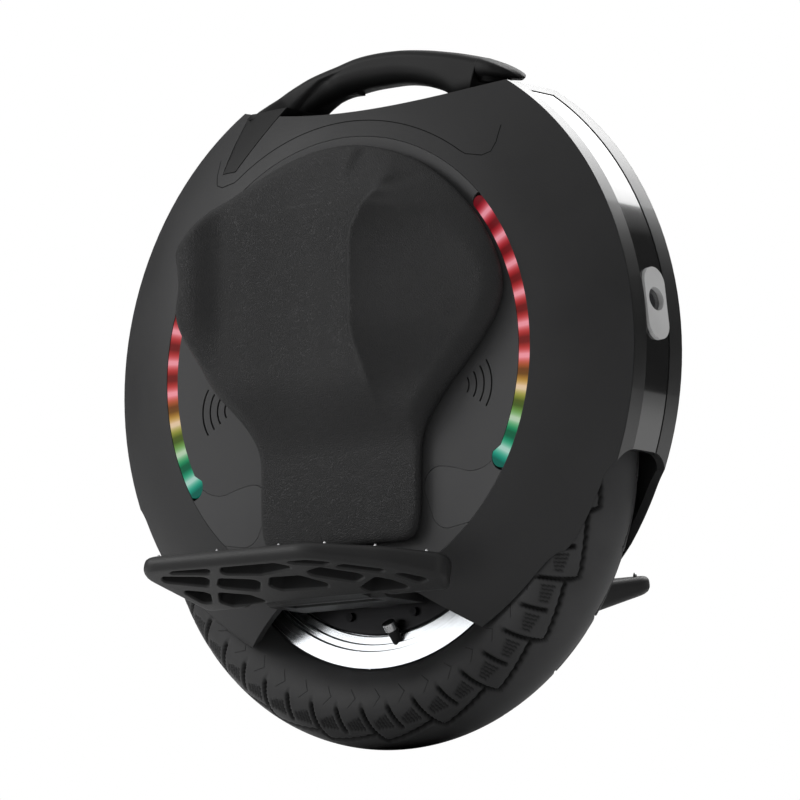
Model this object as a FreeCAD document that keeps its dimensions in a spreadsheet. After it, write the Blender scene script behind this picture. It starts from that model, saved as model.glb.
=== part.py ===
import FreeCAD, Part
import math
import os
from types import SimpleNamespace

import Sketcher
from FreeCAD import Placement, Rotation, Vector

# Electric unicycle in millimetres. +X is forward, +Y is the rider's left, +Z is up,
# and the origin is the point where the tyre meets the ground.

sizes = {
    # tyre and rim
    "tyre_radius": 205,
    "tyre_width": 73,
    "tyre_wall": 9,
    "crown_radius": 47,
    "crown_reach": 25,
    "sidewall_radius": 33,
    "tread_depth": 4.5,
    "groove_width": 4,
    "tread_pitches": 30,
    "notch_length": 13,
    "notch_lean": 22,
    "rim_radius": 148,
    "rim_width": 43,
    "flange_height": 12,
    "flange_wall": 4,
    "bead_height": 9,
    "rim_step": 5,
    "tube_radius": 22,
    "tube_wall": 2,
    # hub motor
    "motor_radius": 119,
    "motor_width": 26,
    "rotor_wall": 6,
    "magnet_count": 40,
    "magnet_height": 3.3,
    "air_gap": 1,
    "stator_yoke": 70,
    "slot_count": 36,
    "slot_width": 7,
    "slot_depth": 24,
    "cover_bulge": 12,
    "cover_wall": 4,
    "cover_rib_count": 10,
    "axle_radius": 12.5,
    "thread_radius": 10,
    "bearing_radius": 26,
    "bearing_width": 13,
    "bearing_fit": 0.05,
    "cover_screw_count": 12,
    "screw_head": 3.2,
    "valve_radius": 4,
    "valve_angle": 5.5,
    "valve_reach": 17,
    # body shell
    "tyre_room": 28.5,
    "edge_gap": 1.2,
    "edge_bulge": 304,
    "mouth_half": 32,
    "mouth_height": 199,
    "mouth_round": 22,
    "shell_rise": 68,
    "shell_width": 57.4,
    "body_width": 124,
    "dome_radius": 160,
    "shell_wall": 3,
    "rim_band": 67.5,
    "panel_wall": 3.8,
    "panel_lip": 7,
    "saddle_half": 120,
    "saddle_dip": 15,
    "leg_half": 106,
    "leg_height": 77,
    "leg_gate": 62,
    "gate_height": 128,
    "arch_height": 228,
    "fit_gap": 0.3,
    "arch_gap": 3.5,
    "arch_wall": 2,
    # light band, strips and lamps
    "band_wall": 6,
    "band_top": 59,
    "band_bottom": 22,
    "strip_width": 27.6,
    "strip_depth": 2.5,
    "strip_frame": 3,
    "lamp_height": 53,
    "lamp_width": 24,
    "lamp_rise": 31,
    "lamp_depth": 10,
    "lens_radius": 8.5,
    "led_width": 9.8,
    "led_top": 42,
    "led_bottom": 31,
    "led_bulb": 8,
    # speaker slots and lower caps of the side panel
    "sound_x": 102,
    "sound_drop": 24,
    "sound_first": 9.6,
    "sound_step": 6.8,
    "sound_half": 34,
    "sound_stroke": 1.4,
    "speaker_radius": 15,
    "speaker_depth": 7,
    # leg pads
    "pad_half": 146,
    "pad_height": 112,
    "pad_neck": 73,
    "pad_crown": 40,
    # pedals and hangers
    "pedal_tilt": 11,
    "hinge_reach": 80,
    "hinge_height": 108,
    "pedal_top": 10.6,
    "pedal_heel": 13.5,
    "pedal_reach": 82,
    "pedal_half": 128,
    "pedal_end": 104,
    "pedal_lip": 10,
    "pedal_skin": 4,
    "pedal_rim": 7,
    "pedal_rib": 5,
    "field_inset": 13,
    "field_rise": 0.8,
    "knuckle_half": 40,
    "knuckle_radius": 9,
    "lug_width": 14,
    "pin_radius": 5,
    "pin_fit": 0.06,
    "stud_radius": 1.8,
    "stud_height": 2.6,
    "hanger_wall": 9.5,
    "hanger_inset": 40.5,
    "hanger_boss": 26,
    # pull-out handle
    "handle_top": 238,
    "handle_width": 32,
    "grip_radius": 147,
    "grip_root": 90,
    "cheek_inner": 24,
    "grip_foot": 64,
    "handle_round": 6,
    "leg_lean": 14,
    "leg_back": 121,
    "leg_drop": 45,
    "leg_front": 14,
    "rail_width": 9.6,
    "rail_depth": 17,
    "rail_wall": 1.2,
    "rail_fit": 0.2,
    "rail_length": 170,
    "rail_start": 34,
    "latch_rise": 9,
    "latch_wall": 2.4,
    "post_height": 5.4,
    "post_radius": 11,
    # deck, socket and inner pieces
    "deck_wall": 3,
    "button_radius": 9,
    "socket_radius": 10,
    "socket_bore": 7.4,
    "socket_depth": 15,
    "socket_drop": 15,
    "cap_radius": 13,
    "battery_inner": 60,
    "battery_outer": 145,
    "battery_start": 3,
    "battery_end": 128,
    "sink_length": 90,
    "sink_width": 36,
    "sink_height": 26,
    "board_wall": 1.6,
}

document = FreeCAD.newDocument("electric_unicycle")
sheet = document.addObject("Spreadsheet::Sheet", "Sizes")
for row, (alias, amount) in enumerate(sizes.items(), start=1):
    sheet.set(f"A{row}", alias)
    sheet.set(f"B{row}", str(amount))
    sheet.setAlias(f"B{row}", alias)
document.recompute()


class Size:
    """A number together with the sheet expression that gives it."""

    def __init__(self, value, text):
        self.value = value
        self.text = text

    def __add__(self, other):
        return Size(self.value + number(other), f"({self.text} + {words(other)})")

    def __radd__(self, other):
        return Size(number(other) + self.value, f"({words(other)} + {self.text})")

    def __sub__(self, other):
        return Size(self.value - number(other), f"({self.text} - {words(other)})")

    def __rsub__(self, other):
        return Size(number(other) - self.value, f"({words(other)} - {self.text})")

    def __mul__(self, other):
        return Size(self.value * number(other), f"({self.text} * {words(other)})")

    __rmul__ = __mul__

    def __truediv__(self, other):
        return Size(self.value / number(other), f"({self.text} / {words(other)})")

    def __rtruediv__(self, other):
        return Size(number(other) / self.value, f"({words(other)} / {self.text})")

    def __neg__(self):
        return Size(-self.value, f"(0 - {self.text})")


def number(thing):
    return thing.value if isinstance(thing, Size) else float(thing)


def words(thing):
    return thing.text if isinstance(thing, Size) else repr(float(thing))


def root(thing):
    return Size(math.sqrt(number(thing)), f"sqrt({words(thing)})")


def sine(degrees):
    return Size(math.sin(math.radians(number(degrees))), f"sin({words(degrees)} * 1 deg)")


def cosine(degrees):
    return Size(math.cos(math.radians(number(degrees))), f"cos({words(degrees)} * 1 deg)")


dim = SimpleNamespace(**{name: Size(float(sheet.get(name)), f"Sizes.{name}") for name in sizes})
pieces = []


def keep(item, label):
    item.Label = label
    pieces.append(item)
    return item


def bind(item, path, thing):
    item.setExpression(path, words(thing))


def place(item, x=0, y=0, z=0, turn=None, axis=Vector(0, 1, 0)):
    angle = 0 if turn is None else number(turn)
    item.Placement = Placement(Vector(number(x), number(y), number(z)), Rotation(axis, angle))
    for letter, thing in zip("xyz", (x, y, z)):
        bind(item, f"Placement.Base.{letter}", thing)
    if turn is not None:
        bind(item, "Placement.Rotation.Angle", turn)
    return item


def new_body(name):
    return document.addObject("PartDesign::Body", name)


def new_sketch(body, role, offset=0):
    sketch = body.newObject("Sketcher::SketchObject", f"{body.Name}_sketch")
    planes = [feature for feature in body.Origin.OriginFeatures if feature.Role == role]
    sketch.AttachmentSupport = [(planes[0], "")]
    sketch.MapMode = "FlatFace"
    sketch.AttachmentOffset = Placement(Vector(0, 0, number(offset)), Rotation())
    bind(sketch, "AttachmentOffset.Base.z", offset)
    return sketch


def constrain(sketch, constraint, thing):
    index = sketch.addConstraint(constraint)
    bind(sketch, f"Constraints[{index}]", thing)


def fix_point(sketch, edge, end, across, up):
    if number(across) == 0:
        sketch.addConstraint(Sketcher.Constraint("PointOnObject", edge, end, -2))
    else:
        constrain(sketch, Sketcher.Constraint("DistanceX", -1, 1, edge, end, number(across)), across)
    if number(up) == 0:
        sketch.addConstraint(Sketcher.Constraint("PointOnObject", edge, end, -1))
    else:
        constrain(sketch, Sketcher.Constraint("DistanceY", -1, 1, edge, end, number(up)), up)


def arc_between(start, stop, radius, turn):
    chord = stop - start
    middle = (start + stop) * 0.5
    rise = math.sqrt(max(radius ** 2 - (chord.Length / 2) ** 2, 0))
    left = Vector(-chord.y, chord.x, 0).normalize()
    centre = middle + left * rise * turn
    first, last = (start, stop) if turn > 0 else (stop, start)
    begin = math.atan2(first.y - centre.y, first.x - centre.x)
    finish = math.atan2(last.y - centre.y, last.x - centre.x)
    return Part.ArcOfCircle(Part.Circle(centre, Vector(0, 0, 1), radius), begin, finish)


def outline(sketch, corners):
    """Closed outline. A corner is (across, up), or (across, up, radius, turn) where an arc leaves it:
    turn is 1 for an arc that bends left and -1 for one that bends right."""
    spots = [Vector(number(corner[0]), number(corner[1]), 0) for corner in corners]
    ends = []
    for index, corner in enumerate(corners):
        start = spots[index]
        stop = spots[(index + 1) % len(spots)]
        if len(corner) == 2:
            edge = sketch.addGeometry(Part.LineSegment(start, stop), False)
            ends.append((edge, 1, 2))
        else:
            edge = sketch.addGeometry(arc_between(start, stop, number(corner[2]), corner[3]), False)
            ends.append((edge, 1, 2) if corner[3] > 0 else (edge, 2, 1))
    for index, corner in enumerate(corners):
        edge, first, last = ends[index]
        following, follow_first, follow_last = ends[(index + 1) % len(ends)]
        sketch.addConstraint(Sketcher.Constraint("Coincident", edge, last, following, follow_first))
        fix_point(sketch, edge, first, corner[0], corner[1])
        if len(corner) == 4:
            constrain(sketch, Sketcher.Constraint("Radius", edge, number(corner[2])), corner[2])
    return sketch


def ring(sketch, across, up, radius):
    circle = Part.Circle(Vector(number(across), number(up), 0), Vector(0, 0, 1), number(radius))
    edge = sketch.addGeometry(circle, False)
    fix_point(sketch, edge, 3, across, up)
    constrain(sketch, Sketcher.Constraint("Radius", edge, number(radius)), radius)
    return sketch


def turned(name, corners, angle=360, z=0, turn=None):
    """Solid of revolution about a line along Y: corners are (radius, distance along Y)."""
    body = new_body(name)
    sketch = outline(new_sketch(body, "XY_Plane"), corners)
    solid = body.newObject("PartDesign::Revolution", f"{name}_turned")
    solid.Profile = sketch
    solid.ReferenceAxis = (sketch, ["V_Axis"])
    solid.Angle = number(angle)
    bind(solid, "Angle", angle)
    sketch.Visibility = False
    return place(body, z=z, turn=turn)


def padded(body, sketch, length):
    solid = body.newObject("PartDesign::Pad", f"{body.Name}_pad")
    solid.Profile = sketch
    solid.Length = number(length)
    bind(solid, "Length", length)
    return solid


def pocketed(body, sketch, length):
    document.recompute()
    before = body.Shape.Volume
    hollow = body.newObject("PartDesign::Pocket", f"{body.Name}_pocket")
    hollow.Profile = sketch
    hollow.Length = number(length)
    bind(hollow, "Length", length)
    document.recompute()
    if body.Shape.Volume >= before:
        raise ValueError(f"a pocket of {body.Name} cuts nothing")
    return hollow


def side_plate(name, corners, low, high):
    """Plate drawn in side view (across X, up Z) that runs from y = low to y = high."""
    body = new_body(name)
    sketch = outline(new_sketch(body, "XZ_Plane", -high), corners)
    padded(body, sketch, high - low)
    return body


def side_pocket(body, outlines, low, high):
    """Cut drawn in side view that runs from y = low to y = high."""
    sketch = new_sketch(body, "XZ_Plane", -low)
    for corners in outlines:
        outline(sketch, corners)
    return pocketed(body, sketch, high - low)


def patterned(body, feature, count, axis_role="Y_Axis"):
    axis = [item for item in body.Origin.OriginFeatures if item.Role == axis_role][0]
    pattern = body.newObject("PartDesign::PolarPattern", f"{body.Name}_pattern")
    pattern.Originals = [feature]
    pattern.Axis = (axis, [""])
    pattern.Angle = 360
    pattern.Occurrences = int(number(count))
    bind(pattern, "Occurrences", count)
    body.Tip = pattern
    return pattern


def cylinder(name, radius, height):
    """Cylinder along its own Z axis."""
    item = document.addObject("Part::Cylinder", name)
    item.Radius = number(radius)
    item.Height = number(height)
    bind(item, "Radius", radius)
    bind(item, "Height", height)
    return item


def block(name, length, width, height):
    item = document.addObject("Part::Box", name)
    for path, thing in (("Length", length), ("Width", width), ("Height", height)):
        setattr(item, path, number(thing))
        bind(item, path, thing)
    return item


def lying_cylinder(name, radius, low, high, x=0, z=0):
    """Cylinder along Y from y = low to y = high."""
    return place(cylinder(name, radius, high - low), x, low, z, -90, Vector(1, 0, 0))


def joined(name, items):
    item = document.addObject("Part::MultiFuse", name)
    item.Shapes = items
    return item


def shared(name, items):
    item = document.addObject("Part::MultiCommon", name)
    item.Shapes = items
    return item


def cut(name, base, tool):
    item = document.addObject("Part::Cut", name)
    item.Base = base
    item.Tool = tool
    return item


def group(name, items):
    item = document.addObject("Part::Compound", name)
    item.Links = items
    return item


def mirrored(name, source, normal=(0, 1, 0)):
    item = document.addObject("Part::Mirroring", name)
    item.Source = source
    item.Base = (0, 0, 0)
    item.Normal = normal
    return item


def both_sides(stem, source):
    """Left piece as drawn and its mirror image on the right."""
    keep(source, f"left_{stem}")
    return keep(mirrored(f"right_{stem}", source), f"right_{stem}")


def copies(name, source, placements):
    """Group of separate solids: the source repeated at each placement."""
    document.recompute()
    shapes = [source.Shape.transformed(spot.toMatrix()) for spot in placements]
    item = document.addObject("Part::Feature", name)
    item.Shape = Part.makeCompound(shapes)
    return item


def around_axle(angle, y=0):
    """Placement that turns a piece drawn at the bottom of the wheel round the axle."""
    centre = Vector(0, y, number(axle_height))
    return Placement(centre, Rotation(Vector(0, 1, 0), angle))


def mirrored_list(corners):
    """The corners of a section with its mirror image across the wheel's middle plane."""
    back = []
    count = len(corners)
    for index in range(count):
        corner = corners[count - 1 - index]
        leaving = corners[count - 2 - index] if index < count - 1 else None
        spot = (corner[0], -corner[1])
        back.append(spot + tuple(leaving[2:]) if leaving is not None and len(leaving) == 4 else spot)
    return back


axle_height = dim.tyre_radius
shell_height = axle_height + dim.shell_rise
shell_radius = dim.tyre_radius + dim.tyre_room
led_radius = shell_radius - dim.rim_band
panel_face = dim.body_width / 2
band_face = dim.shell_width / 2
half_tyre = dim.tyre_width / 2
half_rim = dim.rim_width / 2

# section of the tyre: crown arc, shoulder arc and sidewall arc meet without a kink
crown_sine = dim.crown_reach / dim.crown_radius
crown_cosine = root(1 - crown_sine * crown_sine)
crown_centre = dim.tyre_radius - dim.crown_radius
shoulder_radius = (half_tyre - dim.crown_reach) / (1 - crown_sine)
widest = crown_centre + (dim.crown_radius - shoulder_radius) * crown_cosine
bead_radius = dim.rim_radius + 0.5
sidewall_run = widest - bead_radius
bead_half = half_tyre - dim.sidewall_radius + root(
    dim.sidewall_radius * dim.sidewall_radius - sidewall_run * sidewall_run)


def crown_joint(offset):
    reach = dim.crown_radius + offset
    return crown_centre + reach * crown_cosine, reach * crown_sine


def make_tyre():
    flange_inside = half_rim - dim.flange_wall - 0.2
    seat = dim.rim_radius - dim.bead_height
    inner_sidewall = dim.sidewall_radius - dim.tyre_wall
    share = inner_sidewall / dim.sidewall_radius
    outer_r, outer_y = crown_joint(0)
    inner_r, inner_y = crown_joint(-dim.tyre_wall)
    sidewall_middle = half_tyre - dim.sidewall_radius
    toe = (widest - sidewall_run * share, sidewall_middle + (bead_half - sidewall_middle) * share)
    section = [
        (seat, -flange_inside),
        (bead_radius, -flange_inside),
        (bead_radius, -bead_half, dim.sidewall_radius, 1),
        (widest, -half_tyre, shoulder_radius, 1),
        (outer_r, -outer_y, dim.crown_radius, 1),
        (outer_r, outer_y, shoulder_radius, 1),
        (widest, half_tyre, dim.sidewall_radius, 1),
        (bead_radius, bead_half),
        (bead_radius, flange_inside),
        (seat, flange_inside),
        (seat, flange_inside - 6),
        (toe[0], toe[1], inner_sidewall, -1),
        (widest, half_tyre - dim.tyre_wall, shoulder_radius - dim.tyre_wall, -1),
        (inner_r, inner_y, dim.crown_radius - dim.tyre_wall, -1),
        (inner_r, -inner_y, shoulder_radius - dim.tyre_wall, -1),
        (widest, dim.tyre_wall - half_tyre, inner_sidewall, -1),
        (toe[0], -toe[1]),
        (seat, 6 - flange_inside),
    ]
    tyre = turned("tyre_body", section, z=axle_height)
    pitch = dim.tyre_radius * math.pi / dim.tread_pitches
    wide = dim.groove_width

    def zigzag(middle, swing):
        near = middle - swing
        far = middle + swing
        return [(-pitch - 0.5, near), (0, far), (pitch + 0.5, near),
                (pitch + 0.5, near + wide), (0, far + wide), (-pitch - 0.5, near + wide)]

    crown_sketch = new_sketch(tyre, "XY_Plane", dim.tyre_radius + 1)
    outline(crown_sketch, zigzag(7, 3))
    outline(crown_sketch, zigzag(-7 - wide, 3))
    crown_cut = pocketed(tyre, crown_sketch, dim.tread_depth + 1)
    patterned(tyre, crown_cut, dim.tread_pitches)

    floor = half_tyre - 6.5
    low = widest + 4
    high = low + dim.notch_length
    slope = sine(dim.notch_lean) / cosine(dim.notch_lean) * dim.notch_length
    notch = [(0, low), (wide, low), (wide + slope, high), (slope, high)]
    left_cut = side_pocket(tyre, [notch], floor, half_tyre + 1)
    patterned(tyre, left_cut, dim.tread_pitches)
    other = [(-pitch, low), (wide - pitch, low), (wide + slope - pitch, high), (slope - pitch, high)]
    right_cut = side_pocket(tyre, [other], -half_tyre - 1, -floor)
    patterned(tyre, right_cut, dim.tread_pitches)
    return keep(tyre, "tyre")


def make_tube():
    crown_inside = dim.tyre_radius - dim.tyre_wall
    middle = crown_inside - dim.tube_radius - 0.4

    def torus(name, radius):
        item = document.addObject("Part::Torus", name)
        item.Radius1 = number(middle)
        item.Radius2 = number(radius)
        bind(item, "Radius1", middle)
        bind(item, "Radius2", radius)
        return place(item, z=axle_height, turn=-90, axis=Vector(1, 0, 0))

    outside = torus("tube_outside", dim.tube_radius)
    inside = torus("tube_inside", dim.tube_radius - dim.tube_wall)
    return keep(cut("inner_tube_body", outside, inside), "inner_tube")


def valve_line(name, radius, start, stop):
    """Cylinder along the slanted valve, drawn at the bottom of the wheel and turned to its angle."""
    lean = math.degrees(math.atan2(18, 22))
    item = cylinder(name, radius, stop - start)
    along = Vector(0, -math.sin(math.radians(lean)), math.cos(math.radians(lean)))
    foot = Vector(0, -number(half_rim) / 2, -number(dim.rim_radius) + number(dim.bead_height) + 3)
    spin = Rotation(Vector(0, 1, 0), -number(dim.valve_angle))
    spot = foot + along * number(start)
    item.Placement = Placement(Vector(0, 0, number(axle_height)) + spin.multVec(spot),
                               spin * Rotation(Vector(1, 0, 0), lean))
    return item


def make_rim():
    flange_inner = dim.rim_radius - dim.flange_height
    seat = dim.rim_radius - dim.bead_height - 0.2
    face = half_rim
    cover_seat = dim.motor_radius + dim.rim_step
    motor_half = dim.motor_width / 2
    half = [
        (dim.motor_radius, 0),
        (dim.motor_radius, motor_half + 0.5),
        (cover_seat, motor_half + 0.5),
        (cover_seat + 1, face - 2 * dim.flange_wall / 1.6),
        (flange_inner - dim.rim_step - 1, face - 2 * dim.flange_wall / 1.6),
        (flange_inner - dim.rim_step, face - dim.flange_wall / 1.6),
        (flange_inner - 1, face - dim.flange_wall / 1.6),
        (flange_inner, face),
        (dim.rim_radius, face),
        (dim.rim_radius, face - dim.flange_wall),
        (seat, face - dim.flange_wall),
        (seat, face - dim.flange_wall - 7),
        (seat - 5, face - dim.flange_wall - 9),
    ]
    section = half + mirrored_list(half[1:])
    blank = turned("rim_blank", section, z=axle_height)
    hole = valve_line("valve_hole", dim.valve_radius + 0.1, -6, dim.valve_reach + 12)
    return keep(cut("rim_body", blank, hole), "rim")


def make_valve():
    stem = valve_line("valve_stem_body", dim.valve_radius, 0, dim.valve_reach + 2)
    keep(stem, "valve_stem")
    cap = valve_line("valve_cap_body", dim.valve_radius + 0.8, dim.valve_reach + 2, dim.valve_reach + 8)
    keep(cap, "valve_cap")


def make_motor():
    motor_half = dim.motor_width / 2
    rotor_inner = dim.motor_radius - dim.rotor_wall
    keep(turned("rotor_ring_body", [
        (rotor_inner, -motor_half),
        (dim.motor_radius - 0.1, -motor_half),
        (dim.motor_radius - 0.1, motor_half),
        (rotor_inner, motor_half),
    ], z=axle_height), "rotor_ring")

    magnet_arc = 0.8 * 2 * math.pi * rotor_inner / dim.magnet_count
    depth = rotor_inner - root(rotor_inner * rotor_inner - magnet_arc * magnet_arc / 4)
    magnet = block("magnet", magnet_arc, dim.motor_width - 2, dim.magnet_height - depth)
    foot = rotor_inner - dim.magnet_height - 0.05
    place(magnet, -magnet_arc / 2, 1 - motor_half, foot)
    spots = [around_axle(360 * index / number(dim.magnet_count))
             for index in range(int(number(dim.magnet_count)))]
    keep(copies("rotor_magnets_group", magnet, spots), "rotor_magnets")

    stator_radius = foot - dim.air_gap
    core = new_body("stator_core_body")
    sketch = new_sketch(core, "XZ_Plane", 2 - motor_half)
    ring(sketch, 0, 0, stator_radius)
    ring(sketch, 0, 0, dim.stator_yoke)
    padded(core, sketch, dim.motor_width - 4)
    slot_floor = stator_radius - 4 - dim.slot_depth
    slot_roof = stator_radius - 4
    half_slot = dim.slot_width / 2
    mouth = 1.2
    slot = [
        (-half_slot, slot_floor), (half_slot, slot_floor), (half_slot, slot_roof), (mouth, slot_roof + 2),
        (mouth, stator_radius + 1), (-mouth, stator_radius + 1), (-mouth, slot_roof + 2),
        (-half_slot, slot_roof),
    ]
    slot_cut = side_pocket(core, [slot], -motor_half, motor_half)
    patterned(core, slot_cut, dim.slot_count)
    place(core, z=axle_height)
    keep(core, "stator_core")

    coil = block("coil", dim.slot_width - 0.4, dim.motor_width + 3, dim.slot_depth - 0.4)
    place(coil, 0.2 - half_slot, -motor_half - 1.5, slot_floor + 0.2)
    spots = [around_axle(360 * index / number(dim.slot_count))
             for index in range(int(number(dim.slot_count)))]
    keep(copies("stator_windings_group", coil, spots), "stator_windings")

    hub = new_body("stator_hub_body")
    sketch = new_sketch(hub, "XZ_Plane", 4 - motor_half)
    ring(sketch, 0, 0, dim.stator_yoke - 0.05)
    ring(sketch, 0, 0, dim.axle_radius)
    padded(hub, sketch, dim.motor_width - 8)
    window = new_sketch(hub, "XZ_Plane", motor_half)
    ring(window, 0, (dim.stator_yoke + dim.axle_radius) / 2, (dim.stator_yoke - dim.axle_radius) / 4)
    window_cut = pocketed(hub, window, dim.motor_width)
    patterned(hub, window_cut, 6)
    place(hub, z=axle_height)
    keep(hub, "stator_hub")

    tip = panel_face - dim.panel_wall - 1.2
    nut_seat = dim.hanger_inset + dim.hanger_wall
    keep(turned("axle_body", [
        (0, -tip), (dim.thread_radius, -tip), (dim.thread_radius, -nut_seat), (dim.axle_radius, -nut_seat),
        (dim.axle_radius, nut_seat), (dim.thread_radius, nut_seat), (dim.thread_radius, tip), (0, tip),
    ], z=axle_height), "axle")

    nut = new_body("axle_nut_body")
    sketch = new_sketch(nut, "XZ_Plane", -(tip - 0.8))
    across = dim.thread_radius * 1.5
    corners = [(across * 2 / math.sqrt(3) * cosine(60 * index), across * 2 / math.sqrt(3) * sine(60 * index))
               for index in range(6)]
    outline(sketch, corners)
    ring(sketch, 0, 0, dim.thread_radius + 0.05)
    padded(nut, sketch, tip - 0.8 - nut_seat)
    place(nut, z=axle_height)
    keep(group("axle_nuts_group", [nut, mirrored("right_nut", nut)]), "axle_nuts")


def make_covers():
    motor_half = dim.motor_width / 2
    seat = motor_half + 0.6
    edge = dim.motor_radius + dim.rim_step - 0.3
    wall = dim.cover_wall
    brim = dim.motor_radius - 15
    hub_face = seat + wall + dim.cover_bulge
    bearing_low = hub_face - 2 - dim.bearing_width
    bore = dim.bearing_radius + 0.02
    eye = dim.axle_radius + 3
    cover = turned("motor_cover_body", [
        (bore, bearing_low),
        (bore + 6, bearing_low),
        (bore + 8, hub_face - wall - 2),
        (brim - 6, seat + 1.5),
        (dim.motor_radius - 0.4, seat + 1.5),
        (dim.motor_radius - 0.4, seat),
        (edge, seat),
        (edge, seat + wall - 1),
        (edge - 1, seat + wall),
        (brim, seat + wall + 1),
        (bore + 10, hub_face),
        (eye, hub_face),
        (eye, hub_face - 2),
        (bore, hub_face - 2),
    ], z=axle_height)
    document.recompute()
    rib_half = 2
    rib = [(-rib_half, bore + 12), (rib_half, bore + 12), (rib_half, brim - 3), (-rib_half, brim - 3)]
    rib_sketch = outline(new_sketch(cover, "XZ_Plane", -(hub_face - 0.4)), rib)
    solid = padded(cover, rib_sketch, hub_face - seat - wall + 0.4)
    patterned(cover, solid, dim.cover_rib_count)
    keep(cover, "left_motor_cover")
    twin = mirrored("right_cover_blank", cover)
    notch = valve_line("valve_notch", dim.valve_radius + 1.5, -6, dim.valve_reach + 12)
    keep(cut("right_motor_cover_body", twin, notch), "right_motor_cover")

    ring_low = bearing_low
    bearing = turned("bearing_body", [
        (dim.axle_radius + dim.bearing_fit, ring_low),
        (dim.bearing_radius, ring_low),
        (dim.bearing_radius, hub_face - 2.02),
        (dim.axle_radius + dim.bearing_fit, hub_face - 2.02),
    ], z=axle_height)
    keep(group("wheel_bearings_group", [bearing, mirrored("right_bearing", bearing)]), "wheel_bearings")

    head_low = seat + wall + 0.9
    head_radius = dim.motor_radius - dim.screw_head - 3
    head = lying_cylinder("cover_screw", dim.screw_head, head_low, head_low + 2.4, z=head_radius)
    twin_head = lying_cylinder("cover_screw_right", dim.screw_head, -head_low - 2.4, -head_low, z=head_radius)
    pair = group("cover_screw_pair", [head, twin_head])
    step = 360 / number(dim.cover_screw_count)
    spots = [around_axle(step * (index + 0.5)) for index in range(int(number(dim.cover_screw_count)))]
    keep(copies("motor_cover_screws_group", pair, spots), "motor_cover_screws")


def saddle_height(x):
    """Height of the dipped top edge of the shells."""
    end = root(shell_radius * shell_radius - dim.saddle_half * dim.saddle_half)
    share = x / dim.saddle_half
    return end - dim.saddle_dip + dim.saddle_dip * share * share


def saddle_radius():
    half = dim.saddle_half
    return (half * half + dim.saddle_dip * dim.saddle_dip) / (2 * dim.saddle_dip)


def leg_outline(gap=0, rise=0):
    """Side view of the handle's rear leg, measured from the axis of the shell."""
    lean_x = sine(dim.leg_lean)
    lean_z = cosine(dim.leg_lean)
    foot = saddle_height(-dim.saddle_half) - dim.leg_drop - 3
    run = (dim.leg_drop + rise) / lean_z
    back_x = -dim.leg_back - gap
    front_x = -dim.leg_back + dim.leg_front + gap
    top_x = back_x + run * lean_x
    return [(back_x, foot - gap), (front_x, foot - gap),
            (front_x + run * (lean_x + 0.62), foot + dim.leg_drop + rise),
            (top_x, foot + dim.leg_drop + rise)]


def led_outline(grow, overhang=0):
    """Crescent of a light diffuser, seen from the left, at the front of the ring."""
    outer = led_radius - 0.3 + overhang
    inner = led_radius - dim.led_width - grow
    tail = dim.led_bulb
    top = dim.led_top
    low = -dim.led_bottom
    middle = (outer + inner) / 2
    tip = (outer - inner) / 2
    bulb = tip + tail / 4 + 1.2
    swell = low + tail * 180 / math.pi / middle * 1.6
    return [
        (outer * cosine(low), outer * sine(low), outer, 1),
        (outer * cosine(top), outer * sine(top), tip * 1.05, 1),
        (inner * cosine(top), inner * sine(top), inner, -1),
        (inner * cosine(swell), inner * sine(swell)),
        ((inner - tail / 2) * cosine(low + 2), (inner - tail / 2) * sine(low + 2), bulb, 1),
    ]


def reflected(corners):
    """Outline mirrored across the middle of the wheel, still drawn the same way round."""
    back = []
    count = len(corners)
    for index in range(count):
        corner = corners[count - 1 - index]
        leaving = corners[(count - 2 - index) % count]
        spot = (-corner[0], corner[1])
        back.append(spot + tuple(leaving[2:]) if len(leaving) == 4 else spot)
    return back


def gate_outline():
    """Opening below the shells: wheel between the legs, pedal hanger in the gate above it."""
    rise = dim.shell_rise + axle_height
    wide = shell_radius + 10
    floor = -rise - 20
    return [
        (wide, dim.arch_height - rise, dim.edge_bulge, -1),
        (dim.leg_half, dim.leg_height - rise),
        (dim.leg_gate, dim.leg_height + 27 - rise),
        (dim.leg_gate, dim.gate_height - rise),
        (-dim.leg_gate, dim.gate_height - rise),
        (-dim.leg_gate, dim.leg_height + 27 - rise),
        (-dim.leg_half, dim.leg_height - rise, dim.edge_bulge, -1),
        (-wide, dim.arch_height - rise),
        (-wide, floor),
        (wide, floor),
    ]


def wheel_room():
    """Space round the tyre that the body leaves free."""
    gap = dim.edge_gap
    joint_r, joint_y = crown_joint(gap)
    half = half_tyre + gap
    return turned("wheel_room", [
        (0, -half),
        (widest, -half, shoulder_radius + gap, 1),
        (joint_r, -joint_y, dim.crown_radius + gap, 1),
        (joint_r, joint_y, shoulder_radius + gap, 1),
        (widest, half),
        (0, half),
    ], z=axle_height)


def wheel_mouth():
    """Rounded mouth of the wheel tunnel at the front and rear of the body."""
    half = dim.mouth_half
    corner = dim.mouth_round
    roof = dim.mouth_height
    span = shell_radius * 2 + 40
    body = new_body("wheel_mouth")
    sketch = outline(new_sketch(body, "YZ_Plane", -span / 2), [
        (half, 0), (half, roof - corner, corner, 1), (half - corner, roof), (corner - half, roof, corner, 1),
        (-half, roof - corner), (-half, 0),
    ])
    padded(body, sketch, span)
    return body


def lens_solid(name, edge, flat_radius, flat_half, bulge):
    """Whole lens of the body, used to trim what lies flush with or inside the shells."""
    return turned(name, [
        (0, -flat_half),
        (flat_radius, -flat_half, bulge, 1),
        (edge, -band_face),
        (edge, band_face, bulge, 1),
        (flat_radius, flat_half),
        (0, flat_half),
    ], z=shell_height)


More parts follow.
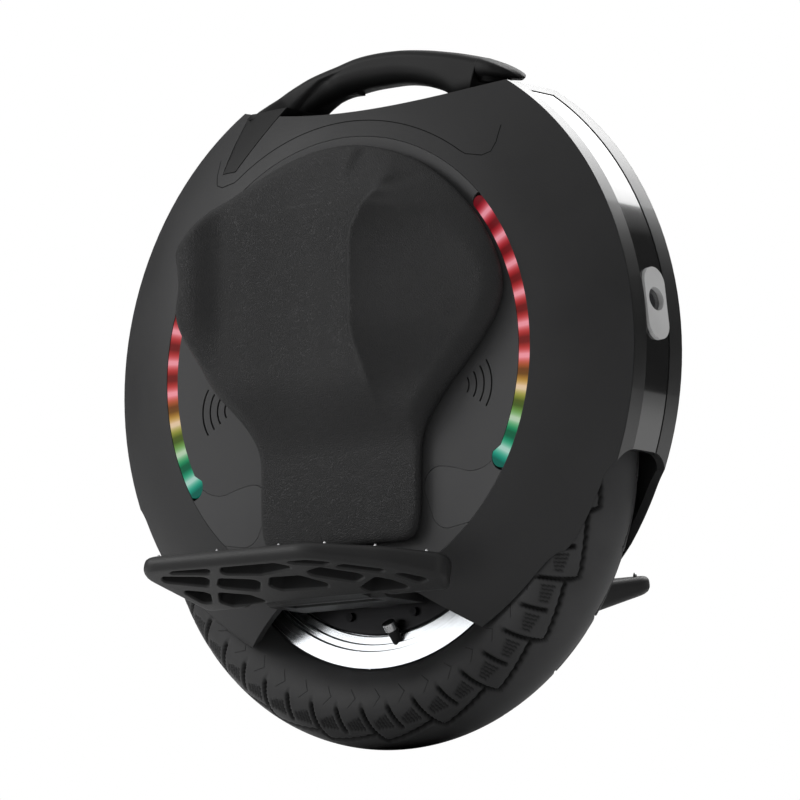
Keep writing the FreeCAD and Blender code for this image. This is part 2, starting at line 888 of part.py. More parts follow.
def make_shells():
    wall = dim.shell_wall
    flange_inner = led_radius - dim.led_width - dim.panel_lip
    seat = panel_face - dim.panel_wall - 0.2
    back = seat - wall
    shell = turned("side_shell_body", [
        (shell_radius, band_face, dim.dome_radius, 1),
        (led_radius, panel_face),
        (led_radius, seat),
        (flange_inner, seat),
        (flange_inner, back),
        (led_radius + 2 * wall, back, dim.dome_radius - wall, -1),
        (shell_radius - 2.4 * wall, band_face),
    ])
    top = saddle_height(dim.saddle_half)
    far = dim.saddle_half + 10
    side_pocket(shell, [[
        (-far, saddle_height(far), saddle_radius(), 1),
        (far, saddle_height(far)),
        (far, top + 70),
        (-far, top + 70),
    ]], 0, panel_face + 5)
    side_pocket(shell, [gate_outline()], 0, panel_face + 5)
    side_pocket(shell, [leg_outline(0.5, 60)], 0, panel_face + 5)
    place(shell, z=shell_height)
    passage = rail("rail_passage", 1, 1, -40, dim.rail_start + 30, -0.4)
    freed = cut("side_shell_freed", shell, passage)
    roomy = cut("side_shell_roomy", freed, room)
    both_sides("side_shell", cut("left_side_shell_body", roomy, mouth))


def make_panels():
    radius = led_radius - 0.3
    low = panel_face - dim.panel_wall
    notch = led_outline(0.3, 4)

    def notched_disc(name, depth):
        body = new_body(name)
        sketch = new_sketch(body, "XZ_Plane", -panel_face)
        ring(sketch, 0, 0, radius)
        padded(body, sketch, depth)
        side_pocket(body, [notch, reflected(notch)], low - 1, panel_face + 1)
        return body

    panel = notched_disc("side_panel_body", dim.panel_wall)
    gate = dim.gate_height - shell_height
    span = dim.leg_gate
    side_pocket(panel, [[
        (-radius, -radius - 5), (radius, -radius - 5), (span + 12, gate), (-span - 12, gate),
    ]], low - 1, panel_face + 1)

    slots = []
    for index in range(4):
        inner = dim.sound_first + index * dim.sound_step - dim.sound_stroke / 2
        outer = inner + dim.sound_stroke
        across = sine(dim.sound_half)
        along = cosine(dim.sound_half)
        slots.append([
            (dim.sound_x + outer * along, -dim.sound_drop - outer * across, outer, 1),
            (dim.sound_x + outer * along, outer * across - dim.sound_drop),
            (dim.sound_x + inner * along, inner * across - dim.sound_drop, inner, -1),
            (dim.sound_x + inner * along, -dim.sound_drop - inner * across),
        ])
    side_pocket(panel, slots + [reflected(slot) for slot in slots], low - 1, panel_face + 1)

    def cap_outline(grow):
        return [
            (133, grow - 79), (155, grow - 74), (155, -138), (113, -122.5 - grow), (94, -125.5 - grow, 15, -1),
            (79.5 - grow, -117), (73 - grow, -101, 14, -1), (87, grow - 80.5, 90, -1), (106, grow - 84.5, 24, 1),
            (120, grow - 85.5, 24, 1),
        ]

    front = cap_outline(0.15)
    side_pocket(panel, [front, reflected(front)], low + 1.2, panel_face + 1)
    place(panel, z=shell_height)
    both_sides("side_panel", panel)

    disc = notched_disc("cap_disc", dim.panel_wall - 1.3)
    caps = []
    for corners in (cap_outline(-0.15), reflected(cap_outline(-0.15))):
        tool = side_plate(f"cap_{len(caps)}", corners, low, panel_face + 1)
        caps.append(shared(f"cap_piece_{len(caps)}", [disc, tool]))
    pair = group("lobe_caps_pair", caps)
    place(pair, z=shell_height)
    both_sides("lobe_caps", pair)


def make_leds():
    front = led_outline(0)
    face = panel_face - 0.3
    floor = panel_face - dim.panel_wall - 0.2
    board_top = floor + dim.board_wall
    diffuser = side_plate("led_diffuser", front, board_top + 0.1, face)
    rear = side_plate("led_diffuser_rear", reflected(front), board_top + 0.1, face)
    pair = group("led_diffuser_pair", [diffuser, rear])
    place(pair, z=shell_height)
    both_sides("led_diffusers", pair)

    inner = led_radius - dim.led_width + 1.5
    outer = led_radius - 1.8
    low = -dim.led_bottom + 3
    top = dim.led_top - 2
    strip = [
        (outer * cosine(low), outer * sine(low), outer, 1),
        (outer * cosine(top), outer * sine(top)),
        (inner * cosine(top), inner * sine(top), inner, -1),
        (inner * cosine(low), inner * sine(low)),
    ]
    board = side_plate("led_board", strip, floor + 0.05, board_top)
    rear_board = side_plate("led_board_rear", reflected(strip), floor + 0.05, board_top)
    boards = group("led_board_pair", [board, rear_board])
    place(boards, z=shell_height)
    keep(group("led_boards_group", [boards, mirrored("led_boards_right", boards)]), "led_boards")


def lamp_prism(name, grow, low, high):
    """Upright pill of a lamp, from low to high along the radius of the shell."""
    body = new_body(name)
    half = dim.lamp_width / 2 + grow
    straight = dim.lamp_height / 2 - dim.lamp_width / 2
    sketch = outline(new_sketch(body, "YZ_Plane", low), [
        (half, -straight), (half, straight, half, 1), (0, straight + half, half, 1),
        (-half, straight), (-half, -straight, half, 1), (0, -straight - half, half, 1),
    ])
    padded(body, sketch, high - low)
    return body


def make_bands():
    inner = shell_radius - dim.band_wall
    half = band_face - dim.fit_gap
    span = dim.band_top + dim.band_bottom
    band = turned("band_blank", [
        (inner, -half), (shell_radius, -half), (shell_radius, half), (inner, half),
    ], angle=span, z=shell_height, turn=-dim.band_top)
    strip_half = dim.strip_width / 2
    floor = shell_radius - dim.strip_depth
    strip_top = dim.band_top - dim.strip_frame
    channel = turned("strip_channel", [
        (floor, -strip_half - 0.2), (shell_radius + 2, -strip_half - 0.2),
        (shell_radius + 2, strip_half + 0.2), (floor, strip_half + 0.2),
    ], angle=span, z=shell_height, turn=-strip_top)
    strip = turned("strip_blank", [
        (floor + 0.1, -strip_half), (shell_radius - 0.6, -strip_half),
        (shell_radius - 0.6, strip_half), (floor + 0.1, strip_half),
    ], angle=span - dim.strip_frame - 0.6, z=shell_height, turn=-strip_top + 0.1)

    tilt = -180 / math.pi * dim.lamp_rise / shell_radius
    hole = place(lamp_prism("lamp_hole", 0.3, inner - 5, shell_radius + 8), z=shell_height, turn=tilt)
    lamped_band = cut("band_with_lamp", cut("band_with_channel", band, channel), hole)
    lamped_strip = cut("strip_with_lamp", strip, hole)
    keep(cut("front_band_body", cut("front_band_roomy", lamped_band, room), mouth), "front_band")
    keep(cut("front_strip_body", lamped_strip, mouth), "front_strip")

    rear_band = mirrored("rear_band_blank", lamped_band, (1, 0, 0))
    rear_strip = mirrored("rear_strip_blank", lamped_strip, (1, 0, 0))
    drop = shell_height - dim.socket_drop
    port = place(cylinder("port_hole", dim.socket_radius + 0.2, 60), -shell_radius - 20, 0, drop, 90)
    seat = place(cylinder("port_seat", dim.cap_radius + 0.4, 20), -shell_radius - 18, 0, drop, 90)
    trimmed_band = cut("rear_band_trimmed", rear_band, port)
    keep(cut("rear_band_body", cut("rear_band_roomy", trimmed_band, room), mouth), "rear_band")
    ported_strip = cut("rear_strip_ported", cut("rear_strip_port", rear_strip, port), seat)
    keep(cut("rear_strip_body", ported_strip, mouth), "rear_strip")

    face = shell_radius + 1
    blank = place(lamp_prism("bezel_blank", 0, face - dim.lamp_depth, face), z=shell_height, turn=tilt)
    lens_tilt = -180 / math.pi * (dim.lamp_rise + 3) / shell_radius
    deep = face - dim.lamp_depth
    eye = radial_cylinder("lens_hole", dim.lens_radius + 0.1, deep - 5, face + 5, lens_tilt)
    keep(cut("headlight_bezel_body", blank, eye), "headlight_bezel")
    keep(turned_lens("headlight_lens_body", face, lens_tilt), "headlight_lens")
    keep(radial_cylinder("lamp_board", dim.lens_radius, deep - 2.1, deep - 0.3, lens_tilt), "headlight_board")
    tail = place(lamp_prism("tail_blank", 0, face - dim.lamp_depth, face), z=shell_height, turn=tilt)
    keep(mirrored("tail_light_body", tail, (1, 0, 0)), "tail_light")


def radial_cylinder(name, radius, low, high, tilt):
    """Cylinder along the radius of the shell that points tilt degrees below straight ahead."""
    item = cylinder(name, radius, high - low)
    return place(item, low * cosine(tilt), 0, shell_height - low * sine(tilt), tilt + 90)


def turned_lens(name, face, tilt):
    """Domed lens that sits in the bezel, turned about the lamp's own axis."""
    body = new_body(name)
    low = face - dim.lamp_depth
    radius = dim.lens_radius
    sketch = outline(new_sketch(body, "XY_Plane"), [
        (low, 0), (face - 3, 0, radius * 4, 1), (face - 4.2, radius), (low, radius),
    ])
    solid = body.newObject("PartDesign::Revolution", f"{name}_turned")
    solid.Profile = sketch
    solid.ReferenceAxis = (sketch, ["H_Axis"])
    solid.Angle = 360
    return place(body, z=shell_height, turn=tilt)


def make_arch():
    gap = dim.arch_gap + 0.5
    wall = gap + dim.arch_wall
    skirt = widest - 4

    def half_section(offset):
        joint_r, joint_y = crown_joint(offset)
        return joint_r, joint_y, half_tyre + offset

    outer_r, outer_y, outer_half = half_section(wall)
    inner_r, inner_y, inner_half = half_section(gap)
    keep(turned("wheel_arch_body", [
        (skirt, -outer_half),
        (widest, -outer_half, shoulder_radius + wall, 1),
        (outer_r, -outer_y, dim.crown_radius + wall, 1),
        (outer_r, outer_y, shoulder_radius + wall, 1),
        (widest, outer_half),
        (skirt, outer_half),
        (skirt, inner_half),
        (widest, inner_half, shoulder_radius + gap, -1),
        (inner_r, inner_y, dim.crown_radius + gap, -1),
        (inner_r, -inner_y, shoulder_radius + gap, -1),
        (widest, -inner_half),
        (skirt, -inner_half),
    ], angle=176, z=axle_height, turn=182), "wheel_arch")


def pad_section(spread, foot, lift, shift):
    """Outline of a leg pad: a broad hood above a narrow neck, spread about the hood's middle."""
    middle = lift
    wide = dim.pad_half * spread
    crown = middle + dim.pad_height * spread
    shoulder_x = wide * 0.62
    shoulder_z = middle + dim.pad_height * spread * 0.72
    cheek_z = middle - 33 * spread
    neck = dim.pad_neck * spread
    waist_z = middle - 115 * spread
    return [
        (shift - shoulder_x, shoulder_z, wide * 0.78, -1),
        (shift, crown, wide * 0.78, -1),
        (shift + shoulder_x, shoulder_z, wide * 0.62, -1),
        (shift + wide, middle, wide * 0.30, -1),
        (shift + wide * 0.91, cheek_z),
        (shift + neck + wide * 0.17, waist_z + 42 * spread, wide * 0.55, 1),
        (shift + neck, waist_z),
        (shift + neck - 1, foot),
        (shift + 1 - neck, foot),
        (shift - neck, waist_z, wide * 0.55, 1),
        (shift - neck - wide * 0.17, waist_z + 42 * spread),
        (shift - wide * 0.91, cheek_z, wide * 0.30, -1),
        (shift - wide, middle, wide * 0.62, -1),
    ]


def make_pads():
    body = new_body("pad_body")
    base = panel_face + dim.fit_gap
    foot = dim.gate_height + 12 - shell_height
    crown = dim.pad_crown
    plan = ((0, 0.965, 0, 46, 0), (0.2, 1.0, 0, 47, 0), (0.55, 0.93, 70, 50, -5), (0.85, 0.8, 92, 54, -15),
            (1.0, 0.66, 114, 58, -22))
    sketches = []
    for height, spread, foot_rise, lift, shift in plan:
        sketch = new_sketch(body, "XZ_Plane", -(base + crown * height))
        outline(sketch, pad_section(spread, foot + foot_rise, lift, shift))
        sketches.append(sketch)
    loft = body.newObject("PartDesign::AdditiveLoft", "pad_loft")
    loft.Profile = sketches[0]
    loft.Sections = sketches[1:]
    loft.Ruled = False
    place(body, z=shell_height)
    both_sides("pad", body)


def pedal_plan(inset):
    """Plan of a pedal seen from above: across X, outwards along Y from its hinge."""
    half = dim.pedal_half - inset
    end = dim.pedal_end - inset
    near = 8 + inset
    far = dim.pedal_reach - inset
    tip = dim.pedal_half - 16 - inset
    round_out = 22 - inset / 2
    return [
        (-end, near), (end, near), (half, near + 24, 60, 1), (tip + 4, far - 18, round_out, 1),
        (tip - 14, far, 1500, 1), (14 - tip, far, round_out, 1), (-tip - 4, far - 18, 60, 1), (-half, near + 24),
    ]


def make_pedals():
    top = dim.pedal_top
    heel = dim.pedal_heel
    lip = top - dim.pedal_lip
    reach = dim.pedal_reach
    slab = new_body("pedal_slab")
    outline_sketch = outline(new_sketch(slab, "XY_Plane", -heel - 6), pedal_plan(0))
    padded(slab, outline_sketch, top + heel + 6)
    wedge = outline(new_sketch(slab, "YZ_Plane", -dim.pedal_half - 5), [
        (-20, -heel - 8), (reach + 30, -heel - 8), (reach + 30, lip + 3), (reach - 10, lip - 2), (0, -heel),
        (-20, -heel),
    ])
    document.recompute()
    under = slab.newObject("PartDesign::Pocket", "pedal_under")
    under.Profile = wedge
    under.Reversed = True
    under.Length = 2 * number(dim.pedal_half) + 10
    bind(under, "Length", 2 * dim.pedal_half + 10)

    hollow = new_body("pedal_hollow")
    hollow_sketch = outline(new_sketch(hollow, "XY_Plane", -heel - 10), pedal_plan(dim.pedal_rim))
    padded(hollow, hollow_sketch, heel + 10 + top - dim.pedal_skin)

    ribs = []

    def rib(x, y, length, angle):
        item = block(f"pedal_rib_{len(ribs)}", length, dim.pedal_rib, 80)
        turn = Rotation(Vector(0, 0, 1), angle)
        start = Vector(x, y, -40) - turn.multVec(Vector(number(length) / 2, number(dim.pedal_rib) / 2, 0))
        item.Placement = Placement(start, turn)
        ribs.append(item)

    span = 2 * dim.pedal_half
    inner_edge = 8
    middle_y = (number(reach) + inner_edge) / 2
    third = (number(reach) - inner_edge) / 3
    half = number(dim.pedal_half)
    for row_y in (inner_edge + third, inner_edge + 2 * third):
        rib(-half / 2, row_y, half, 0)
    for column_x in (-half * 0.68, -half * 0.36):
        rib(column_x, middle_y, 100, 90)
    for column_x in (0, half * 0.34, half * 0.68):
        rib(column_x, middle_y, 120, 48)
        rib(column_x, middle_y, 120, -48)
    core = block("pedal_core", 2 * dim.knuckle_half + 8, 18, 80)
    place(core, -dim.knuckle_half - 4, 0, -40)
    lattice = joined("pedal_lattice", ribs + [core])
    pockets = cut("pedal_pockets", hollow, lattice)
    lightened = cut("pedal_lightened", slab, pockets)
    field = new_body("pedal_field")
    field_sketch = outline(new_sketch(field, "XY_Plane", top - 1), pedal_plan(dim.field_inset))
    padded(field, field_sketch, 1 + dim.field_rise)

    knuckle = new_body("pedal_knuckle")
    radius = dim.knuckle_radius
    profile = outline(new_sketch(knuckle, "YZ_Plane", -dim.knuckle_half), [
        (0, -radius), (10, -radius), (10, radius), (0, radius, radius, 1), (-radius, 0, radius, 1),
    ])
    padded(knuckle, profile, 2 * dim.knuckle_half)
    whole = joined("pedal_whole", [lightened, field, knuckle])
    clear = []
    for side in (-1, 1):
        space = block(f"lug_space_{side}", dim.lug_width + 1.2, 40, 80)
        start = dim.knuckle_half - 0.3 if side > 0 else -dim.knuckle_half - dim.lug_width - 0.9
        place(space, start, dim.knuckle_radius + 2 - 40, -40)
        clear.append(space)
    bore = place(cylinder("pedal_bore", dim.pin_radius + 0.02, span), -dim.pedal_half, 0, 0, 90)
    pedal = cut("pedal_finished", whole, joined("pedal_clear", clear + [bore]))
    seat_pedal(pedal)
    both_sides("pedal", pedal)

    pin_half = dim.knuckle_half + dim.lug_width + 2
    pin = place(cylinder("pedal_pin_body", dim.pin_radius, 2 * pin_half), -pin_half, dim.hinge_reach,
                dim.hinge_height, 90)
    both_sides("pedal_pin", pin)

    stud = document.addObject("Part::Cone", "stud")
    stud.Radius1 = number(dim.stud_radius)
    stud.Radius2 = number(dim.stud_radius) * 0.5
    stud.Height = number(dim.stud_height)
    bind(stud, "Radius1", dim.stud_radius)
    bind(stud, "Radius2", dim.stud_radius * 0.5)
    bind(stud, "Height", dim.stud_height)
    spots = []
    edge_y = number(reach) - number(dim.field_inset) / 2
    end_x = number(dim.pedal_half) - number(dim.field_inset) * 0.75
    for step in (-5, -3, -1, 1, 3, 5):
        spots.append(Placement(Vector(number(dim.pedal_half) * 0.15 * step, edge_y, number(top)), Rotation()))
    for x in (-end_x, end_x):
        spots.append(Placement(Vector(x, number(reach) * 0.47, number(top)), Rotation()))
    studs = seat_pedal(copies("stud_group", stud, spots))
    both_sides("pedal_studs", studs)


def seat_pedal(item):
    return place(item, 0, dim.hinge_reach, dim.hinge_height, dim.pedal_tilt, Vector(1, 0, 0))


def make_hangers():
    boss = dim.hanger_boss
    low = dim.hanger_inset
    high = low + dim.hanger_wall
    foot_top = dim.gate_height - 0.6
    foot_low = dim.hinge_height - dim.knuckle_radius
    lug_out = dim.knuckle_half + dim.lug_width
    hanger = side_plate("hanger_plate", [
        (-lug_out, foot_low), (lug_out, foot_low), (lug_out, foot_top), (boss, axle_height, boss, 1),
        (0, axle_height + boss, boss, 1), (-boss, axle_height), (-lug_out, foot_top),
    ], low, high)
    shelf_out = dim.hinge_reach - dim.knuckle_radius - 3
    shelf = outline(new_sketch(hanger, "XZ_Plane", -shelf_out), [
        (-lug_out, foot_low), (lug_out, foot_low), (lug_out, foot_top - 10), (lug_out - 10, foot_top),
        (10 - lug_out, foot_top), (-lug_out, foot_top - 10),
    ])
    padded(hanger, shelf, shelf_out - low)
    radius = dim.knuckle_radius
    reach = dim.hinge_reach
    rise = dim.hinge_height
    for start in (dim.knuckle_half + 0.3, -lug_out):
        lug = outline(new_sketch(hanger, "YZ_Plane", start), [
            (shelf_out - 5, rise - radius), (reach, rise - radius, radius, 1), (reach + radius, rise, radius, 1),
            (reach, rise + radius), (shelf_out - 5, rise + radius),
        ])
        padded(hanger, lug, dim.lug_width - 0.3)
    bores = joined("hanger_bores", [
        place(cylinder("hanger_pin_bore", dim.pin_radius + dim.pin_fit, 200), -100, reach, rise, 90),
        lying_cylinder("hanger_axle_bore", dim.axle_radius, low - 5, high + 5, z=axle_height),
    ])
    both_sides("pedal_hanger", cut("hanger_body", hanger, bores))


def make_handle():
    half = dim.handle_width / 2
    nose_x = dim.saddle_half - 20
    nose_z = saddle_height(nose_x) + dim.latch_rise
    shelf_x = dim.saddle_half - 48
    foot_x = dim.grip_foot
    gap = 0.6
    leg = leg_outline()
    back_top = leg[3]
    front_top = leg[2]
    root_x = -dim.grip_root
    root_z = saddle_height(root_x) + gap
    chord = (nose_x - 12 - back_top[0]) / 2
    rise = dim.handle_top - (nose_z + 3 + back_top[1]) / 2
    arch = side_plate("handle_arch_blank", [
        (back_top[0], back_top[1], (chord * chord + rise * rise) / (2 * rise), -1),
        (nose_x - 12, nose_z + 3),
        (nose_x, nose_z),
        (shelf_x, saddle_height(shelf_x) + dim.latch_rise),
        (shelf_x, saddle_height(shelf_x) + gap),
        (foot_x, saddle_height(foot_x) + gap, dim.grip_radius, 1),
        (root_x, root_z),
        (root_x - 8, root_z - 10),
        (back_top[0] - 2, back_top[1] - 12),
    ], -half, half)
    document.recompute()
    names = []
    for index, edge in enumerate(arch.Shape.Edges, start=1):
        curved = edge.Curve.TypeId == "Part::GeomCircle"
        if curved and edge.BoundBox.YLength < 0.01:
            names.append(f"Edge{index}")
    plain = arch.Tip
    fillet = arch.newObject("PartDesign::Fillet", "handle_round")
    fillet.Base = (plain, names)
    fillet.Radius = number(dim.handle_round)
    bind(fillet, "Radius", dim.handle_round)
    place(arch, z=shell_height)
    leg_blank = place(side_plate("handle_leg_blank", leg, -panel_face, panel_face), z=shell_height)
    tongue = shared("handle_leg", [leg_blank, lens_solid("handle_trim", shell_radius, led_radius, panel_face, dim.dome_radius)])
    fork = new_body("handle_fork")
    crease = front_top[0]
    low_z = back_top[1] - 4
    high_z = dim.handle_top - 8
    sections = []
    for share, rear_x, fore_x, wide in (
            (0, back_top[0] + 0.5, crease - 3, 2 * half + 8),
            (0.55, back_top[0] + 19, crease + 11, 2 * half - 2),
            (1, crease + 9, crease + 29, half - 3)):
        sketch = new_sketch(fork, "XY_Plane", low_z + (high_z - low_z) * share)
        outline(sketch, [(rear_x, -wide), (fore_x, -wide), (fore_x, wide), (rear_x, wide)])
        sections.append(sketch)
    web = fork.newObject("PartDesign::AdditiveLoft", "fork_loft")
    web.Profile = sections[0]
    web.Sections = sections[1:]
    web.Ruled = True
    place(fork, z=shell_height)
    plan = new_body("handle_plan")
    tip_x = nose_x - half
    nose_plan = outline(new_sketch(plan, "XY_Plane", shell_height), [
        (back_top[0] - 30, -half), (tip_x, -half, half, 1), (nose_x, 0, half, 1), (tip_x, half),
        (back_top[0] - 30, half),
    ])
    padded(plan, nose_plan, dim.handle_top + 20)
    arch = shared("handle_nosed", [arch, plan])
    finger_space = place(side_plate("finger_space", [
        (foot_x, saddle_height(foot_x) + gap, dim.grip_radius, 1), (root_x, root_z), (root_x, root_z - 30),
        (foot_x, root_z - 30),
    ], -dim.cheek_inner, dim.cheek_inner), z=shell_height)
    cheeks = cut("handle_cheeks", fork, finger_space)
    whole = joined("handle_whole", [arch, tongue, cheeks])
    rods = []
    for side in (1, -1):
        rods.append(rail(f"rod_{side}", side, 2, -10, dim.rail_length + dim.rail_start - 8))
    rod_pair = group("trolley_rods_group", rods)
    nest = cut("handle_nested", whole, rod_pair)
    switch_space = lift_switch_box("lift_switch_space", 0.3, 6)
    keep(cut("handle_arch_body", nest, switch_space), "handle_arch")
    keep(rod_pair, "trolley_rods")
    mids = []
    guides = []
    for side in (1, -1):
        mids.append(hollow_rail(f"mid_{side}", side, 1, dim.rail_start + 4, dim.rail_start + dim.rail_length - 4))
        guides.append(hollow_rail(f"guide_{side}", side, 0, dim.rail_start, dim.rail_start + dim.rail_length))
    keep(group("trolley_mid_tubes_group", mids), "trolley_mid_tubes")
    keep(group("trolley_guides_group", guides), "trolley_guides")
    keep(lift_switch_box("lift_switch_body", 0, 3), "lift_switch")

    plate_low = dim.latch_rise - dim.latch_wall - 0.6
    slope = -math.degrees(math.atan2(number(saddle_height(nose_x) - saddle_height(shelf_x)),
                                     number(nose_x - shelf_x)))
    latch = block("latch_plate", nose_x - shelf_x + 1, half, dim.latch_wall)
    place(latch, shelf_x + 1, -half / 2, shell_height + saddle_height(shelf_x) + plate_low, slope)
    keep(latch, "handle_latch")
    post_x = shelf_x + 15
    post = place(cylinder("latch_post_body", dim.post_radius, dim.post_height), post_x, 0,
                 shell_height + saddle_height(post_x) + 0.2, slope)
    keep(post, "latch_post")


def lift_switch_box(name, grow, height):
    x = -40
    rise = shell_height + dim.handle_top - 25
    item = block(name, 12 + 2 * grow, 9 + 2 * grow, height + 6)
    return place(item, x - 6 - grow, -4.5 - grow, rise - 4)


def rail(name, side, stage, low, high, inset=0):
    """Flat bar of the trolley: stage 0 is the guide, 1 the middle tube and 2 the rod."""
    shrink = 2 * stage * (dim.rail_wall + dim.rail_fit) + 2 * inset
    depth = dim.rail_depth - shrink
    width = dim.rail_width - shrink
    length = high - low
    lean_x = sine(dim.leg_lean)
    lean_z = cosine(dim.leg_lean)
    foot = saddle_height(-dim.saddle_half) - dim.leg_drop - 3 + shell_height
    head_x = -dim.leg_back + dim.leg_front / 2
    corner_x = head_x - depth / 2 * lean_z - high * lean_x
    corner_z = foot + depth / 2 * lean_x - high * lean_z
    item = block(name, depth, width, length)
    middle = (half_tyre + dim.arch_gap + dim.arch_wall + 0.9 + dim.rail_width / 2) * side
    return place(item, corner_x, middle - width / 2, corner_z, dim.leg_lean)


def hollow_rail(name, side, stage, low, high):
    outside = rail(f"{name}_outside", side, stage, low, high)
    inside = rail(f"{name}_inside", side, stage, low - 5, high + 5, dim.rail_wall)
    return cut(name, outside, inside)


def make_deck():
    rear_x = -66
    front_x = dim.saddle_half - 3
    drop = 1.2
    thick = dim.deck_wall + drop
    plate = side_plate("deck_blank", [
        (rear_x, saddle_height(rear_x) - drop, saddle_radius(), 1),
        (front_x, saddle_height(front_x) - drop),
        (front_x, saddle_height(front_x) - thick, saddle_radius(), -1),
        (rear_x, saddle_height(rear_x) - thick),
    ], -panel_face, panel_face)
    place(plate, z=shell_height)
    wall = dim.shell_wall
    inside = lens_solid("deck_trim", shell_radius - 2.4 * wall - 0.3, led_radius + 2 * wall - 0.3,
                        panel_face - dim.panel_wall - wall - 0.5, dim.dome_radius - wall)
    trimmed = shared("deck_trimmed", [plate, inside])
    button_y = 36
    rest = shell_height + saddle_height(0)
    hole = place(cylinder("button_hole", dim.button_radius + 0.3, 40), 0, button_y, rest - 20)
    posts = []
    sink_top = sink_base() + dim.sink_height + dim.board_wall
    for x in (-30, 30):
        posts.append(place(cylinder(f"deck_post_{x}", 4, rest - thick + 1 - sink_top), x, 0, sink_top))
    keep(cut("top_deck_body", joined("deck_with_posts", [trimmed] + posts), hole), "top_deck")
    button = place(cylinder("power_button_body", dim.button_radius, 6), 0, button_y, rest - drop - 4)
    keep(button, "power_button")

    sink_x = -dim.sink_length / 2
    sink = block("sink_blank", dim.sink_length, dim.sink_width, dim.sink_height)
    place(sink, sink_x, -dim.sink_width / 2, sink_base())
    fins = []
    for index in range(6):
        slot = block(f"sink_slot_{index}", dim.sink_length + 4, 3, dim.sink_height - 6)
        place(slot, sink_x - 2, -dim.sink_width / 2 + 3 + index * 5.6, sink_base() - 1)
        fins.append(slot)
    keep(cut("controller_heatsink_body", sink, joined("sink_slots", fins)), "controller_heatsink")
    board = block("board_blank", dim.sink_length - 6, dim.sink_width - 2, dim.board_wall)
    place(board, sink_x + 3, 1 - dim.sink_width / 2, sink_base() + dim.sink_height)
    keep(board, "controller_board")


def sink_base():
    return axle_height + dim.tyre_radius + dim.arch_gap + 0.5 + dim.arch_wall + 0.2


def make_port():
    mouth = -shell_radius + 1
    rise = shell_height - dim.socket_drop
    shell_blank = place(cylinder("socket_blank", dim.socket_radius, dim.socket_depth), mouth, 0, rise, 90)
    bore = place(cylinder("socket_bore", dim.socket_bore, dim.socket_depth - 3), mouth - 1, 0, rise, 90)
    keep(cut("charge_socket_body", shell_blank, bore), "charge_socket")
    lid_back = mouth - 2.8
    lid = place(cylinder("cap_lid", dim.cap_radius, 2), lid_back, 0, rise, 90)
    tab = block("cap_tab", 2, 12, 6)
    place(tab, lid_back, -6, rise + dim.cap_radius - 2)
    keep(joined("charge_cap_body", [lid, tab]), "charge_cap")


def make_insides():
    low = half_tyre + dim.arch_gap + dim.arch_wall + 1.2
    high = panel_face - dim.panel_wall - 0.4
    inner = dim.battery_inner
    outer = dim.battery_outer
    first = dim.battery_start
    last = dim.battery_end
    halfway = (first + last) / 2
    pack = side_plate("battery_body", [
        (outer * cosine(first), outer * sine(first), outer, 1),
        (outer * cosine(halfway), outer * sine(halfway), outer, 1),
        (outer * cosine(last), outer * sine(last)),
        (inner * cosine(last), inner * sine(last), inner, -1),
        (inner * cosine(halfway), inner * sine(halfway), inner, -1),
        (inner * cosine(first), inner * sine(first)),
    ], low, high)
    place(pack, z=shell_height)
    both_sides("battery", pack)

    drivers = []
    for side in (1, -1):
        item = lying_cylinder(f"speaker_{side}", dim.speaker_radius, high - dim.speaker_depth, high,
                              side * (dim.sound_x + 14), shell_height - dim.sound_drop)
        drivers.append(item)
    pair = group("speaker_pair", drivers)
    keep(group("speakers_group", [pair, mirrored("speakers_right", pair)]), "speakers")


room = wheel_room()
mouth = wheel_mouth()
make_tyre()
make_tube()
make_rim()
make_valve()
make_motor()
make_covers()
make_shells()
make_panels()
make_leds()
make_bands()
make_arch()
make_pads()
make_pedals()
make_hangers()
make_handle()
make_deck()
make_port()
make_insides()
document.recompute()

faults = []
for item in document.Objects:
    if "Invalid" in item.State or "Error" in item.State:
        faults.append(f"{item.Name}: {item.State}")
for item in pieces:
    if item.Shape.isNull() or not item.Shape.isValid() or not item.Shape.Solids:
        faults.append(f"{item.Label}: no valid solid")
if faults:
    raise RuntimeError("; ".join(faults))

os.makedirs("parts", exist_ok=True)
for item in pieces:
    item.Shape.exportStep(f"parts/{item.Label}.step")
    print(item.Label, len(item.Shape.Solids), round(item.Shape.Volume / 1000, 1))
print(len(pieces), "nodes")
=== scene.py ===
import math

import bmesh
import bpy
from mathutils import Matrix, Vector
from mathutils.bvhtree import BVHTree


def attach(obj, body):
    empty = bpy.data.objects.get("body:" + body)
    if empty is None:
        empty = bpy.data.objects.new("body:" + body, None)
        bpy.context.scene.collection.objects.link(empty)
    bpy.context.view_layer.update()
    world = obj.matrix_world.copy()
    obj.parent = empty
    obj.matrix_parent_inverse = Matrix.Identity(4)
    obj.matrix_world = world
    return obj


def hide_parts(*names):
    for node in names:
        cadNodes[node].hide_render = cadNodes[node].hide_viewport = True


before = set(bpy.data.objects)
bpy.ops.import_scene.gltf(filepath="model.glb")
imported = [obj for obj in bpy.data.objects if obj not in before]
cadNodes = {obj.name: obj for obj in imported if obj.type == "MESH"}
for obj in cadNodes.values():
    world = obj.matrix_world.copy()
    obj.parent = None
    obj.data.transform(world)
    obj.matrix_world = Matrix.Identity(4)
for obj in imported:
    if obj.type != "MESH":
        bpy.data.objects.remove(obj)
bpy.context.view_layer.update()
scene = bpy.context.scene
metre = 1000            # shapes are sized in millimetres, the scene is in metres
axleHeight = 205
sides = ((-1, "right"), (1, "left"))
print("stage: frame loaded")


class Wire:
    def __init__(self, tree, socket):
        self.tree = tree
        self.socket = socket

    def make(self, operation, *others):
        return addNode(self.tree, "ShaderNodeMath", [self, *others], operation=operation)

    def __add__(self, other):
        return self.make("ADD", other)

    def __sub__(self, other):
        return self.make("SUBTRACT", other)

    def __mul__(self, other):
        return self.make("MULTIPLY", other)


